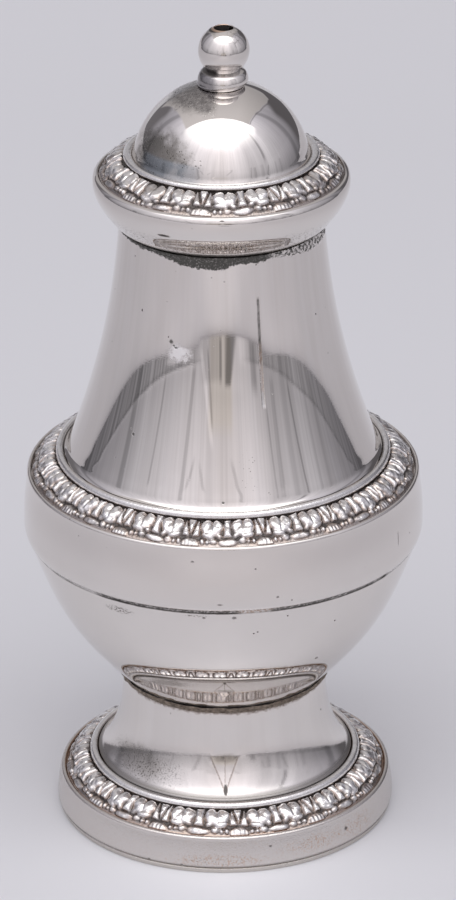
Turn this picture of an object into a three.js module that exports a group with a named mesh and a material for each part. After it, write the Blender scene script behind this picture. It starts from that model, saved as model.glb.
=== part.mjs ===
// Baluster pepper pot in silver plate: a screw-off cap with a bored ball finial, a flared neck, a shoulder
// with an ornament strip, a girdle, a bowl, and a spool foot with its own strip.
// Millimetres, +Z up. The origin is the centre of the base ring's underside, which is what the pot stands on.
import * as THREE from "three";

// ---------------------------------------------------------------- driving dimensions (mm)
const GIRDLE_R = 23.93; // widest radius of the pot
const WALL = 0.8; // sheet thickness of the spun shells
const FIT = 0.1; // gap left at a soldered joint

const SEG_BODY = 40; // facets round the body, the foot and the shoulder
const SEG_CAP = 32; // facets round the cap and the screw collar
const SEG_FINIAL = 20; // facets round the finial

const BALL_R = 2.99; // finial ball
const BALL_Z = 97.17;
const POUR_R = 1.15; // the one pour hole, down through the finial
const DOME_R = 10.49; // the cap's dome is part of a sphere
const DOME_Z = 82.74; // centre of that sphere
const DOME_FOOT_Z = 83.3; // lower edge of the dome
const TAIL_R = 1.7; // the finial's tail, in the hole at the dome's top

const NECK_TOP_Z = 76.1;
const CAP_EDGE_Z = 76.35; // lower edge of the cap when it is screwed down

const THREAD_PITCH = 1.6; // round rolled thread, right-handed
const THREAD_WAVE = 0.28; // half its depth
const MALE_R = 10.45; // mean radius of the collar's thread
const FEMALE_R = 10.72; // mean radius of the cap's thread
const MALE_Z = [76.9, 81.3]; // height of the full thread on the collar
const FEMALE_Z = [77.1, 81.7]; // and in the cap
const THREAD_FADE = 0.45; // run-out at each end
const THREAD_ROWS = 6; // facets to each pitch
const SPIGOT_TOP_Z = 82.0;
const SPIGOT_BORE_R = 9.35;

const WASHER_R = [9.5, 10.2];
const WASHER_Z = [82.07, 82.45];

// ---------------------------------------------------------------- finishes
const plate = (color, roughness) =>
  new THREE.MeshStandardMaterial({ color, roughness, metalness: 1 });
const polished = plate(0xc9c4c2, 0.12);
const satin = plate(0xbdb7b4, 0.24);
const relief = plate(0xa8a09b, 0.3);
const collarMetal = plate(0xb9a77c, 0.32);
const solder = plate(0x77705f, 0.6);
const fibre = new THREE.MeshStandardMaterial({ color: 0x8a6a4a, roughness: 0.9, metalness: 0 });

// ---------------------------------------------------------------- helpers
// A closed ring or cup turned about Z from points [radius, height]. A profile that starts and ends on the axis
// closes there; any other profile closes on itself. Points run anticlockwise with the radius to the right.
function turned(points, segments) {
  let area = 0;
  points.forEach(([r, z], i) => {
    const [r2, z2] = points[(i + 1) % points.length];
    area += r * z2 - r2 * z;
  });
  const loop = area < 0 ? [...points].reverse() : [...points];
  const onAxis = loop[0][0] === 0 && loop[loop.length - 1][0] === 0;
  if (!onAxis) loop.push(loop[0]);
  const g = new THREE.LatheGeometry(
    loop.map(([r, z]) => new THREE.Vector2(r, z)),
    segments,
  );
  g.rotateX(Math.PI / 2);
  return g;
}

// Rows of the thread's surface, as [mean radius, height] from the lower end to the upper one.
function threadRows(meanR, [z0, z1]) {
  const low = z0 - THREAD_FADE,
    high = z1 + THREAD_FADE,
    n = Math.round(((high - low) / THREAD_PITCH) * THREAD_ROWS),
    rows = [];
  for (let i = 0; i <= n; i++) rows.push([meanR, low + ((high - low) * i) / n]);
  return rows;
}

// Rolls the round thread into the rows that threadRows made. It runs out to the root at both ends: inwards on
// the collar (side -1), outwards in the cap (side 1), so that the two never meet while the cap turns and rises.
function rollThread(geometry, meanR, [z0, z1], side) {
  const p = geometry.attributes.position;
  for (let i = 0; i < p.count; i++) {
    const x = p.getX(i),
      y = p.getY(i),
      z = p.getZ(i),
      r = Math.hypot(x, y);
    if (Math.abs(r - meanR) > 1e-3) continue;
    if (z < z0 - THREAD_FADE - 1e-3 || z > z1 + THREAD_FADE + 1e-3) continue;
    const full = Math.min(
      1,
      Math.max(0, (z - (z0 - THREAD_FADE)) / THREAD_FADE),
      Math.max(0, (z1 + THREAD_FADE - z) / THREAD_FADE),
    );
    const turn = z / THREAD_PITCH - Math.atan2(y, x) / (2 * Math.PI);
    const wave = Math.cos(2 * Math.PI * turn);
    const rr = meanR + side * THREAD_WAVE * (1 - full) + full * THREAD_WAVE * wave;
    p.setX(i, (x * rr) / r);
    p.setY(i, (y * rr) / r);
  }
  p.needsUpdate = true;
  return geometry;
}

// Points on an arc about (0, cz) in the profile plane, from one polar angle to another (degrees from the +r axis).
function arc(radius, cz, fromDeg, toDeg, steps) {
  const out = [];
  for (let i = 0; i <= steps; i++) {
    const a = ((fromDeg + ((toDeg - fromDeg) * i) / steps) * Math.PI) / 180;
    out.push([radius * Math.cos(a), cz + radius * Math.sin(a)]);
  }
  return out;
}
const degAt = (radius, r) => (Math.acos(r / radius) * 180) / Math.PI;
const degLow = (radius, dz) => (Math.asin(dz / radius) * 180) / Math.PI;

function piece(name, geometry, material) {
  const m = new THREE.Mesh(geometry, material);
  m.name = name;
  return m;
}

// ---------------------------------------------------------------- foot
const foot = new THREE.Group();

// Flat ring soldered under the rim: the face the pot stands on, seen as the thin lip below the rim.
foot.add(
  piece(
    "foot_base_ring",
    turned([[16.8, 0], [20.15, 0], [20.3, 0.15], [20.3, 0.62], [20.2, 0.7], [16.8, 0.7]], SEG_BODY),
    satin,
  ),
);

// Upright rim with a rounded bead, and the cone behind it that carries the strip.
foot.add(
  piece(
    "foot_rim",
    turned(
      [
        [19.7, 0.8], [20.3, 0.8], [20.5, 1.05], [20.42, 2.2], [20.22, 3.6], [20.08, 4.3], [19.88, 4.64],
        [19.62, 4.66], [19.45, 4.38], [19.2, 4.3], [15.55, 6.82], [15.45, 6.2], [18.9, 3.75], [19.4, 3.1], [19.62, 2.0],
      ],
      SEG_BODY,
    ),
    polished,
  ),
);

foot.add(
  piece(
    "foot_ornament_band",
    turned(
      [
        [19.32, 4.42], [19.44, 4.66], [19.2, 5.02], [18.85, 5.42], [18.3, 5.95], [17.7, 6.36], [17.1, 6.64], [16.6, 6.82],
        [16.3, 7.2], [15.98, 7.33], [15.65, 7.22], [15.52, 6.98],
      ],
      SEG_BODY,
    ),
    relief,
  ),
);

// Spool-shaped stem, open underneath, on which the bowl sits.
foot.add(
  piece(
    "foot_stem",
    turned(
      [
        [15.42, 7.22], [15.2, 7.42], [14.95, 7.68], [14.72, 7.95], [14.2, 8.65], [13.75, 9.45], [13.13, 11.0], [12.64, 13.0], [12.4, 15.0], [12.2, 17.0], [12.12, 17.45],
        [11.4, 16.95], [11.6, 15.0], [11.86, 13.0], [12.4, 11.0], [13.1, 9.3], [14.1, 7.9], [14.75, 7.12], [15.3, 7.12],
      ],
      SEG_BODY,
    ),
    satin,
  ),
);

foot.add(
  piece(
    "stem_solder_bead",
    turned([[12.22, 17.35], [12.5, 17.55], [12.74, 18.1], [12.62, 18.22], [12.36, 17.9], [12.2, 17.62]], SEG_BODY),
    solder,
  ),
);

// ---------------------------------------------------------------- body
const body = new THREE.Group();

// Bowl: holds the pepper, closed below, its underside dished down into the stem.
body.add(
  piece(
    "bowl",
    turned(
      [
        [0, 14.3], [4.5, 14.55], [8.0, 15.4], [10.3, 16.5], [12.12, 17.8], [13.2, 19.0], [15.02, 21.0], [17.14, 23.5], [18.91, 26.0],
        [20.58, 29.0], [21.86, 32.0], [22.6, 34.0], [23.08, 35.4], [23.26, 36.05], [22.46, 36.05], [22.28, 35.4],
        [21.78, 34.0], [21.04, 32.0], [19.78, 29.0], [18.12, 26.0], [16.42, 23.7], [14.35, 21.35], [12.4, 19.3], [9.8, 17.3], [6.5, 15.8], [0, 15.1],
      ],
      SEG_BODY,
    ),
    polished,
  ),
);

body.add(
  piece(
    "body_seam_solder",
    turned([[22.5, 36.15], [23.3, 36.15], [23.42, 36.22], [23.44, 36.32], [22.5, 36.32]], SEG_BODY),
    solder,
  ),
);

// Girdle: upright wall of the widest part, a bead at its top, and the cone behind it that carries the strip.
body.add(
  piece(
    "girdle",
    turned(
      [
        [22.8, 36.42], [23.45, 36.42], [23.74, 36.8], [23.9, 37.4], [GIRDLE_R, 38.4], [23.86, 40.2], [23.68, 42.0], [23.5, 43.6],
        [23.46, 44.15], [23.34, 44.48], [23.12, 44.58], [22.96, 44.42], [22.9, 43.98], [22.7, 43.98], [18.5, 47.0],
        [18.45, 46.1], [22.2, 43.4], [22.85, 42.3], [23.1, 40.0], [23.1, 37.4],
      ],
      SEG_BODY,
    ),
    polished,
  ),
);

body.add(
  piece(
    "shoulder_ornament_band",
    turned(
      [
        [22.82, 44.14], [22.9, 44.5], [22.6, 44.95], [22.2, 45.4], [21.6, 45.95], [20.95, 46.38], [20.3, 46.7],
        [19.98, 47.1], [19.68, 47.33], [19.3, 47.25], [19.05, 47.0], [19.1, 46.72],
      ],
      SEG_BODY,
    ),
    relief,
  ),
);

// Neck: flared cone with a rolled-in foot on the shoulder.
body.add(
  piece(
    "neck",
    turned(
      [
        [18.2, 47.4], [18.95, 47.12], [18.5, 47.6], [17.95, 49.0], [17.23, 51.0], [16.56, 53.0], [15.35, 57.0], [14.1, 62.0], [13.15, 67.0],
        [12.47, 72.0], [12.09, 75.9], [12.0, NECK_TOP_Z], [11.2, NECK_TOP_Z], [11.54, 72.0], [12.22, 67.0], [13.16, 62.0], [14.42, 57.0], [15.62, 53.0], [16.9, 49.2],
      ],
      SEG_BODY,
    ),
    polished,
  ),
);

// Screw collar: a sleeve soldered inside the neck's mouth, and the spigot with the male thread that stands out of it.
const male = threadRows(MALE_R, MALE_Z);
body.add(
  piece(
    "neck_screw_collar",
    rollThread(
      turned(
        [
          [10.65, 72.6], [11.34, 72.6], [11.05, 76.15], [10.17, 76.3],
          ...male,
          [10.0, SPIGOT_TOP_Z], [SPIGOT_BORE_R, SPIGOT_TOP_Z], [SPIGOT_BORE_R, 77.2], [10.35, 75.6],
        ],
        SEG_CAP,
      ),
      MALE_R,
      MALE_Z,
      -1,
    ),
    collarMetal,
  ),
);

// ---------------------------------------------------------------- cap
const cap = new THREE.Group();

// Thread ring inside the cap: female thread, and a flange that the washer sits under and the dome stands on.
const female = threadRows(FEMALE_R, FEMALE_Z).reverse();
cap.add(
  piece(
    "cap_thread_ring",
    rollThread(
      turned(
        [
          [11.12, 76.5], [11.78, 76.5], [11.78, 82.5], [11.0, 83.15], [9.6, 83.15], [9.6, 82.55], [11.0, 82.55],
          ...female,
        ],
        SEG_CAP,
      ),
      FEMALE_R,
      FEMALE_Z,
      1,
    ),
    collarMetal,
  ),
);

// Hollow rounded moulding round the cap, with the cone on top that carries the strip.
cap.add(
  piece(
    "cap_rim_moulding",
    turned(
      [
        [11.92, CAP_EDGE_Z], [12.2, CAP_EDGE_Z], [12.65, 76.62], [13.4, 77.5], [14.14, 78.5], [14.7, 79.5], [15.02, 80.45], [15.1, 81.2],
        [15.02, 81.72], [14.85, 82.02], [14.6, 82.2], [14.4, 82.2], [14.36, 81.78], [14.2, 81.75], [10.75, 84.2],
        [10.75, 83.5], [13.6, 81.45], [14.25, 80.7], [13.95, 79.7], [13.35, 78.8], [12.6, 77.85], [11.92, 77.1],
      ],
      SEG_CAP,
    ),
    polished,
  ),
);

cap.add(
  piece(
    "cap_ornament_band",
    turned(
      [
        [14.26, 81.92], [14.3, 82.24], [14.05, 82.62], [13.6, 83.14], [13.0, 83.62], [12.4, 83.98], [11.85, 84.24], [11.55, 84.36],
        [11.42, 84.62], [11.12, 84.8], [10.75, 84.74], [10.5, 84.5], [10.6, 84.42],
      ],
      SEG_CAP,
    ),
    relief,
  ),
);

// Dome, drilled at the top for the finial's tail.
const domeInner = DOME_R - WALL;
cap.add(
  piece(
    "cap_dome",
    turned(
      [
        ...arc(DOME_R, DOME_Z, degLow(DOME_R, DOME_FOOT_Z - DOME_Z), degAt(DOME_R, TAIL_R + FIT), 7),
        ...arc(domeInner, DOME_Z, degAt(domeInner, TAIL_R + FIT), degLow(domeInner, DOME_FOOT_Z - DOME_Z), 6),
      ],
      SEG_CAP,
    ),
    polished,
  ),
);

// Finial: ball, groove, bun and tail in one turned piece, bored through for pouring.
const ballTop = degAt(BALL_R, POUR_R);
const ballFoot = -degAt(BALL_R, 2.02);
cap.add(
  piece(
    "finial",
    turned(
      [
        [POUR_R, 91.8], [TAIL_R, 91.8], [TAIL_R, 93.2], [2.66, 93.0], [2.72, 93.16], [2.92, 93.3], [2.95, 93.7], [2.78, 94.3], [2.4, 94.8], [2.02, 95.02],
        ...arc(BALL_R, BALL_Z, ballFoot, ballTop, 8),
      ],
      SEG_FINIAL,
    ),
    polished,
  ),
);

// ---------------------------------------------------------------- washer between the cap and the collar
const seal = new THREE.Group();
seal.add(
  piece(
    "cap_washer",
    turned(
      [[WASHER_R[0], WASHER_Z[0]], [WASHER_R[1], WASHER_Z[0]], [WASHER_R[1], WASHER_Z[1]], [WASHER_R[0], WASHER_Z[1]]],
      SEG_CAP,
    ),
    fibre,
  ),
);

const pot = new THREE.Group();
pot.add(foot, body, seal, cap);
export default pot;
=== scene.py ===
"""Looks of the baluster pepper pot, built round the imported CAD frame. Profiles are in millimetres, [radius, height]."""
import math

import bpy
import numpy as np
from mathutils import Matrix, Vector


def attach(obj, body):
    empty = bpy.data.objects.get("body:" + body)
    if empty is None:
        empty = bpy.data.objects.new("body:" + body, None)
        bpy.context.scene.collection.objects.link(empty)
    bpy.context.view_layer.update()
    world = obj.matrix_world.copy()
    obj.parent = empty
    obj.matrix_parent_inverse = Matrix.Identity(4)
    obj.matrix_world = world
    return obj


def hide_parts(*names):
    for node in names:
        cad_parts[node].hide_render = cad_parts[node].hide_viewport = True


MM = 0.001
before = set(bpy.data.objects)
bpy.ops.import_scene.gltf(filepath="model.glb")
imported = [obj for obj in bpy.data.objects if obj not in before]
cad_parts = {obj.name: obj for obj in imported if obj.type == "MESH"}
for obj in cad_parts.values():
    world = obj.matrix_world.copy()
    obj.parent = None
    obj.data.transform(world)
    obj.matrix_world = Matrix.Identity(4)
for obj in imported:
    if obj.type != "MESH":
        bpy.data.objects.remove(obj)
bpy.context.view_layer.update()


# ------------------------------------------------------------------ driving values
ELEV = math.radians(24.457)  # camera: elevation, distance, roll and aim, from the ellipses of the pot's edges
CAM_D = 648.4
CAM_ROLL = math.radians(0.318)
AIM = (0.584, 0.0, 46.38)
LENS_PX = 5429.2  # focal length in pixels of the 456 x 900 frame

SEG = 360  # facets round the large turned pieces
SEG_SMALL = 200

THREAD_PITCH, THREAD_WAVE, THREAD_FADE = 1.6, 0.28, 0.45
MALE_R, FEMALE_R = 10.45, 10.72
MALE_Z, FEMALE_Z = (76.9, 81.3), (77.1, 81.7)


# ------------------------------------------------------------------ profiles
def run(points, step=0.25):
    """A smooth curve (natural cubic spline over the chord length) through the points, about step apart."""
    p = np.array(points, float)
    if len(p) == 2:
        n = max(1, int(round(np.hypot(*(p[1] - p[0])) / step)))
        t = np.linspace(0, 1, n + 1)[:, None]
        return p[0] + (p[1] - p[0]) * t
    d = np.r_[0, np.cumsum(np.hypot(*np.diff(p, axis=0).T))]
    n = len(d)
    h = np.diff(d)
    a = np.zeros((n, n))
    b = np.zeros((n, 2))
    a[0, 0] = a[-1, -1] = 1
    for i in range(1, n - 1):
        a[i, i - 1], a[i, i], a[i, i + 1] = h[i - 1], 2 * (h[i - 1] + h[i]), h[i]
        b[i] = 6 * ((p[i + 1] - p[i]) / h[i] - (p[i] - p[i - 1]) / h[i - 1])
    m = np.linalg.solve(a, b)
    t = np.linspace(0, d[-1], max(2, int(math.ceil(d[-1] / step))) + 1)
    k = np.clip(np.searchsorted(d, t, side="right") - 1, 0, n - 2)
    x0, x1 = (d[k + 1] - t)[:, None], (t - d[k])[:, None]
    hk = h[k][:, None]
    return (
        m[k] * x0**3 / (6 * hk)
        + m[k + 1] * x1**3 / (6 * hk)
        + (p[k] / hk - m[k] * hk / 6) * x0
        + (p[k + 1] / hk - m[k + 1] * hk / 6) * x1
    )


def arc(radius, cz, a0, a1, step=0.25):
    n = max(3, int(abs(math.radians(a1 - a0)) * radius / step))
    a = np.radians(np.linspace(a0, a1, n + 1))
    return np.stack([radius * np.cos(a), cz + radius * np.sin(a)], 1)


def join(*runs):
    """Runs end to end as one closed loop; a point that repeats is dropped."""
    out = []
    for r in runs:
        for q in np.asarray(r, float):
            if not out or np.hypot(*(q - out[-1])) > 1e-4:
                out.append(q)
    if np.hypot(*(out[0] - out[-1])) < 1e-4:
        out.pop()
    return np.array(out)


# ------------------------------------------------------------------ mesh code
def mesh_object(name, verts, faces, sharp=32.0):
    me = bpy.data.meshes.new(name)
    me.vertices.add(len(verts))
    me.vertices.foreach_set("co", np.asarray(verts, np.float32).ravel())
    quads = np.asarray([f for f in faces if len(f) == 4], np.int32).reshape(-1, 4)
    tris = np.asarray([f for f in faces if len(f) == 3], np.int32).reshape(-1, 3)
    loops = np.concatenate([quads.ravel(), tris.ravel()])
    me.loops.add(len(loops))
    me.loops.foreach_set("vertex_index", loops)
    me.polygons.add(len(quads) + len(tris))
    start = np.concatenate([np.arange(len(quads)) * 4, len(quads) * 4 + np.arange(len(tris)) * 3])
    me.polygons.foreach_set("loop_start", start.astype(np.int32))
    me.update(calc_edges=True)
    me.validate()
    me.shade_smooth()
    me.set_sharp_from_angle(angle=math.radians(sharp))
    ob = bpy.data.objects.new(name, me)
    bpy.context.scene.collection.objects.link(ob)
    return ob


def ring_grid(rows, seg, on_axis=False):
    """Faces of a lathe: rows x seg vertices, the rows closed on each other unless the first and last lie on the axis."""
    n = rows
    i = np.arange(n if not on_axis else n - 1)
    j = np.arange(seg)
    ii, jj = np.meshgrid(i, j, indexing="ij")
    i2, j2 = (ii + 1) % n, (jj + 1) % seg
    return np.stack([ii * seg + jj, ii * seg + j2, i2 * seg + j2, i2 * seg + jj], -1).reshape(-1, 4)


def area_sign(p):
    q = np.roll(p, -1, axis=0)
    return np.sign((p[:, 0] * q[:, 1] - q[:, 0] * p[:, 1]).sum())


def theta_of(seg):
    return np.arange(seg) * 2 * np.pi / seg


def turned(name, profile, seg=SEG, warp=None, sharp=32.0, relief=None):
    """A closed ring turned about Z. theta is 0 towards -Y and grows towards +X. warp(theta, r, z) -> (dr, dz) in mm."""
    p = np.asarray(profile, float)
    if area_sign(p) < 0:
        p = p[::-1]
    th = theta_of(seg)
    r = np.repeat(p[:, :1], seg, 1)
    z = np.repeat(p[:, 1:], seg, 1)
    t = np.repeat(th[None], len(p), 0)
    if warp is not None:
        dr, dz = warp(t, r, z)
        r, z = r + dr, z + dz
    v = np.stack([r * np.sin(t), -r * np.cos(t), z], -1).reshape(-1, 3) * MM
    return mesh_object(name, v, ring_grid(len(p), seg).tolist(), sharp)


def turned_cup(name, profile, seg=SEG, warp=None, sharp=32.0):
    """A body whose profile starts and ends on the axis."""
    p = np.asarray(profile, float)
    if area_sign(p) < 0:
        p = p[::-1]
    inner = p[1:-1]
    th = theta_of(seg)
    r = np.repeat(inner[:, :1], seg, 1)
    z = np.repeat(inner[:, 1:], seg, 1)
    t = np.repeat(th[None], len(inner), 0)
    if warp is not None:
        dr, dz = warp(t, r, z)
        r, z = r + dr, z + dz
    v = np.stack([r * np.sin(t), -r * np.cos(t), z], -1).reshape(-1, 3) * MM
    v = np.concatenate([v, [[0, 0, p[0, 1] * MM], [0, 0, p[-1, 1] * MM]]])
    faces = ring_grid(len(inner), seg, on_axis=True).tolist()
    a, b = len(v) - 2, len(v) - 1
    last = (len(inner) - 1) * seg
    for j in range(seg):
        k = (j + 1) % seg
        faces.append([a, k, j])
        faces.append([b, last + j, last + k])
    return mesh_object(name, v, faces, sharp)


def lattice(seed, nx, ny):
    return np.random.default_rng(seed).random((ny, nx))


def smooth_noise(t, s, seed, nx, per_mm):
    """Value noise in [-1, 1] over the angle t (wraps after a turn, nx cells) and a length s in mm (cells of 1/per_mm)."""
    ny = 64
    g = lattice(seed, nx, ny)
    x = (t / (2 * np.pi)) % 1.0 * nx
    y = s * per_mm + 7.3
    xi, yi = np.floor(x).astype(int), np.floor(y).astype(int)
    fx, fy = x - xi, y - yi
    fx, fy = fx * fx * (3 - 2 * fx), fy * fy * (3 - 2 * fy)
    g00 = g[yi % ny, xi % nx]
    g10 = g[yi % ny, (xi + 1) % nx]
    g01 = g[(yi + 1) % ny, xi % nx]
    g11 = g[(yi + 1) % ny, (xi + 1) % nx]
    return ((g00 * (1 - fx) + g10 * fx) * (1 - fy) + (g01 * (1 - fx) + g11 * fx) * fy) * 2 - 1


def sstep(x, lo, hi):
    t = np.clip((x - lo) / (hi - lo), 0, 1)
    return t * t * (3 - 2 * t)


# ------------------------------------------------------------------ shader helpers
class Graph:
    """Short names for the nodes of a tree. Sockets and numbers are both fine as inputs."""

    def __init__(self, tree):
        self.tree = tree
        self.n = tree.nodes
        self.k = 0

    def add(self, kind):
        nd = self.n.new(kind)
        nd.location = (220 * (self.k % 14), -260 * (self.k // 14))
        self.k += 1
        return nd

    def put(self, socket, value):
        if isinstance(value, bpy.types.NodeSocket):
            self.tree.links.new(value, socket)
        elif value is not None:
            if hasattr(socket.default_value, "__len__") and not hasattr(value, "__len__"):
                value = [value] * len(socket.default_value)
            if hasattr(value, "__len__") and len(value) == 3 and len(socket.default_value) == 4:
                value = (*value, 1.0)
            socket.default_value = value

    def math(self, op, a, b=None, c=None, clamp=False):
        nd = self.add("ShaderNodeMath")
        nd.operation = op
        nd.use_clamp = clamp
        for s, v in zip(nd.inputs, (a, b, c)):
            self.put(s, v)
        return nd.outputs[0]

    def vmath(self, op, a, b=None, scale=None):
        nd = self.add("ShaderNodeVectorMath")
        nd.operation = op
        self.put(nd.inputs[0], a)
        if b is not None:
            self.put(nd.inputs[1], b)
        if scale is not None:
            self.put(nd.inputs["Scale"], scale)
        return nd.outputs["Value"] if op in ("DOT_PRODUCT", "LENGTH", "DISTANCE") else nd.outputs[0]

    def add_(self, a, b):
        return self.math("ADD", a, b)

    def sub(self, a, b):
        return self.math("SUBTRACT", a, b)

    def mul(self, a, b):
        return self.math("MULTIPLY", a, b)

    def step(self, x, lo, hi, to0=0.0, to1=1.0):
        nd = self.add("ShaderNodeMapRange")
        nd.interpolation_type = "SMOOTHSTEP"
        self.put(nd.inputs["Value"], x)
        if lo > hi:
            lo, hi, to0, to1 = hi, lo, to1, to0
        for k, v in (("From Min", lo), ("From Max", hi), ("To Min", to0), ("To Max", to1)):
            self.put(nd.inputs[k], v)
        return nd.outputs["Result"]

    def lin(self, x, lo, hi, to0=0.0, to1=1.0, clamp=True):
        nd = self.add("ShaderNodeMapRange")
        nd.clamp = clamp
        self.put(nd.inputs["Value"], x)
        for k, v in (("From Min", lo), ("From Max", hi), ("To Min", to0), ("To Max", to1)):
            self.put(nd.inputs[k], v)
        return nd.outputs["Result"]

    def combine(self, x, y, z):
        nd = self.add("ShaderNodeCombineXYZ")
        for s, v in zip(nd.inputs, (x, y, z)):
            self.put(s, v)
        return nd.outputs[0]

    def split(self, v):
        nd = self.add("ShaderNodeSeparateXYZ")
        self.put(nd.inputs[0], v)
        return nd.outputs

    def noise(self, vector, scale, detail=2.0, rough=0.5, distort=0.0):
        nd = self.add("ShaderNodeTexNoise")
        self.put(nd.inputs["Vector"], vector)
        self.put(nd.inputs["Scale"], scale)
        self.put(nd.inputs["Detail"], detail)
        self.put(nd.inputs["Roughness"], rough)
        self.put(nd.inputs["Distortion"], distort)
        return nd.outputs["Fac"]

    def cells(self, vector, scale, feature="F1", rand=1.0):
        nd = self.add("ShaderNodeTexVoronoi")
        nd.feature = feature
        self.put(nd.inputs["Vector"], vector)
        self.put(nd.inputs["Scale"], scale)
        self.put(nd.inputs["Randomness"], rand)
        return nd.outputs["Distance"]

    def mix(self, fac, a, b, blend="MIX"):
        nd = self.add("ShaderNodeMix")
        nd.data_type = "RGBA"
        nd.blend_type = blend
        self.put(nd.inputs[0], fac)
        self.put(nd.inputs[6], a)
        self.put(nd.inputs[7], b)
        return nd.outputs[2]

    def mixf(self, fac, a, b):
        nd = self.add("ShaderNodeMix")
        nd.data_type = "FLOAT"
        self.put(nd.inputs[0], fac)
        self.put(nd.inputs[2], a)
        self.put(nd.inputs[3], b)
        return nd.outputs[0]

    def ramp(self, fac, stops, interpolation="LINEAR"):
        nd = self.add("ShaderNodeValToRGB")
        self.put(nd.inputs[0], fac)
        cr = nd.color_ramp
        cr.interpolation = interpolation
        while len(cr.elements) < len(stops):
            cr.elements.new(0.5)
        for e, (pos, col) in zip(cr.elements, stops):
            e.position = pos
            e.color = (*col, 1.0) if hasattr(col, "__len__") else (col, col, col, 1.0)
        return nd.outputs[0]

    def attribute(self, name):
        nd = self.add("ShaderNodeAttribute")
        nd.attribute_name = name
        return nd.outputs["Fac"]

    def most(self, *xs):
        out = xs[0]
        for x in xs[1:]:
            out = self.math("MAXIMUM", out, x)
        return out

    def bump(self, height, distance, strength=1.0, normal=None):
        nd = self.add("ShaderNodeBump")
        self.put(nd.inputs["Height"], height)
        self.put(nd.inputs["Distance"], distance)
        self.put(nd.inputs["Strength"], strength)
        if normal is not None:
            self.put(nd.inputs["Normal"], normal)
        return nd.outputs[0]


def new_material(name):
    m = bpy.data.materials.new(name)
    m.use_nodes = True
    m.node_tree.nodes.clear()
    g = Graph(m.node_tree)
    out = g.add("ShaderNodeOutputMaterial")
    bsdf = g.add("ShaderNodeBsdfPrincipled")
    m.node_tree.links.new(bsdf.outputs[0], out.inputs[0])
    return m, g, bsdf


class Coords:
    """The point on the object in millimetres, and its angle round the axis: 0 towards -Y, growing towards +X."""

    def __init__(self, g):
        self.g = g
        tc = g.add("ShaderNodeTexCoord")
        self.mm = g.vmath("SCALE", tc.outputs["Object"], scale=1000.0)
        x, y, z = g.split(self.mm)
        self.x, self.y, self.z = x, y, z
        self.theta = g.math("ARCTAN2", x, g.mul(y, -1.0))
        self.deg = g.mul(self.theta, 57.29578)
        self.r = g.math("SQRT", g.add_(g.mul(x, x), g.mul(y, y)))

    def spot(self, deg, z, half_deg, half_z, soft=0.35, warp=None):
        """1 inside an oval at an angle and a height, 0 outside."""
        g = self.g
        a = g.mul(g.sub(self.deg, deg), 1.0 / half_deg)
        b = g.mul(g.sub(self.z, z), 1.0 / half_z)
        d = g.math("SQRT", g.add_(g.mul(a, a), g.mul(b, b)))
        if warp is not None:
            d = g.add_(d, warp)
        return g.step(d, 1.0 + soft, 1.0 - soft)

    def line(self, p, q, half_width, radius, soft=0.5, warp=None):
        """1 on a line from (deg, z) to (deg, z) on a surface of about that radius in mm."""
        g = self.g
        k = radius * math.pi / 180
        ax, ay, bx, by = p[0] * k, p[1], q[0] * k, q[1]
        length = math.hypot(bx - ax, by - ay)
        ux, uy = (bx - ax) / length, (by - ay) / length
        px = g.sub(g.mul(self.deg, k), ax)
        py = g.sub(self.z, ay)
        along = g.add_(g.mul(px, ux), g.mul(py, uy))
        across = g.sub(g.mul(px, uy), g.mul(py, ux))
        if warp is not None:
            across = g.add_(across, warp)
        inside = g.mul(g.step(along, -0.3, 0.3), g.step(along, length + 0.3, length - 0.3))
        return g.mul(inside, g.step(g.math("ABSOLUTE", across), half_width * (1 + soft), half_width * (1 - soft)))


SILVER = (0.800, 0.765, 0.735)
SILVER_DULL = (0.70, 0.665, 0.635)
# the colour of dark marks: oxide where the pot has it, and painted shade where a mark stands in for shade
OXIDE_AND_SHADE = (0.060, 0.052, 0.045)
COPPER = (0.56, 0.36, 0.24)


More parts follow.
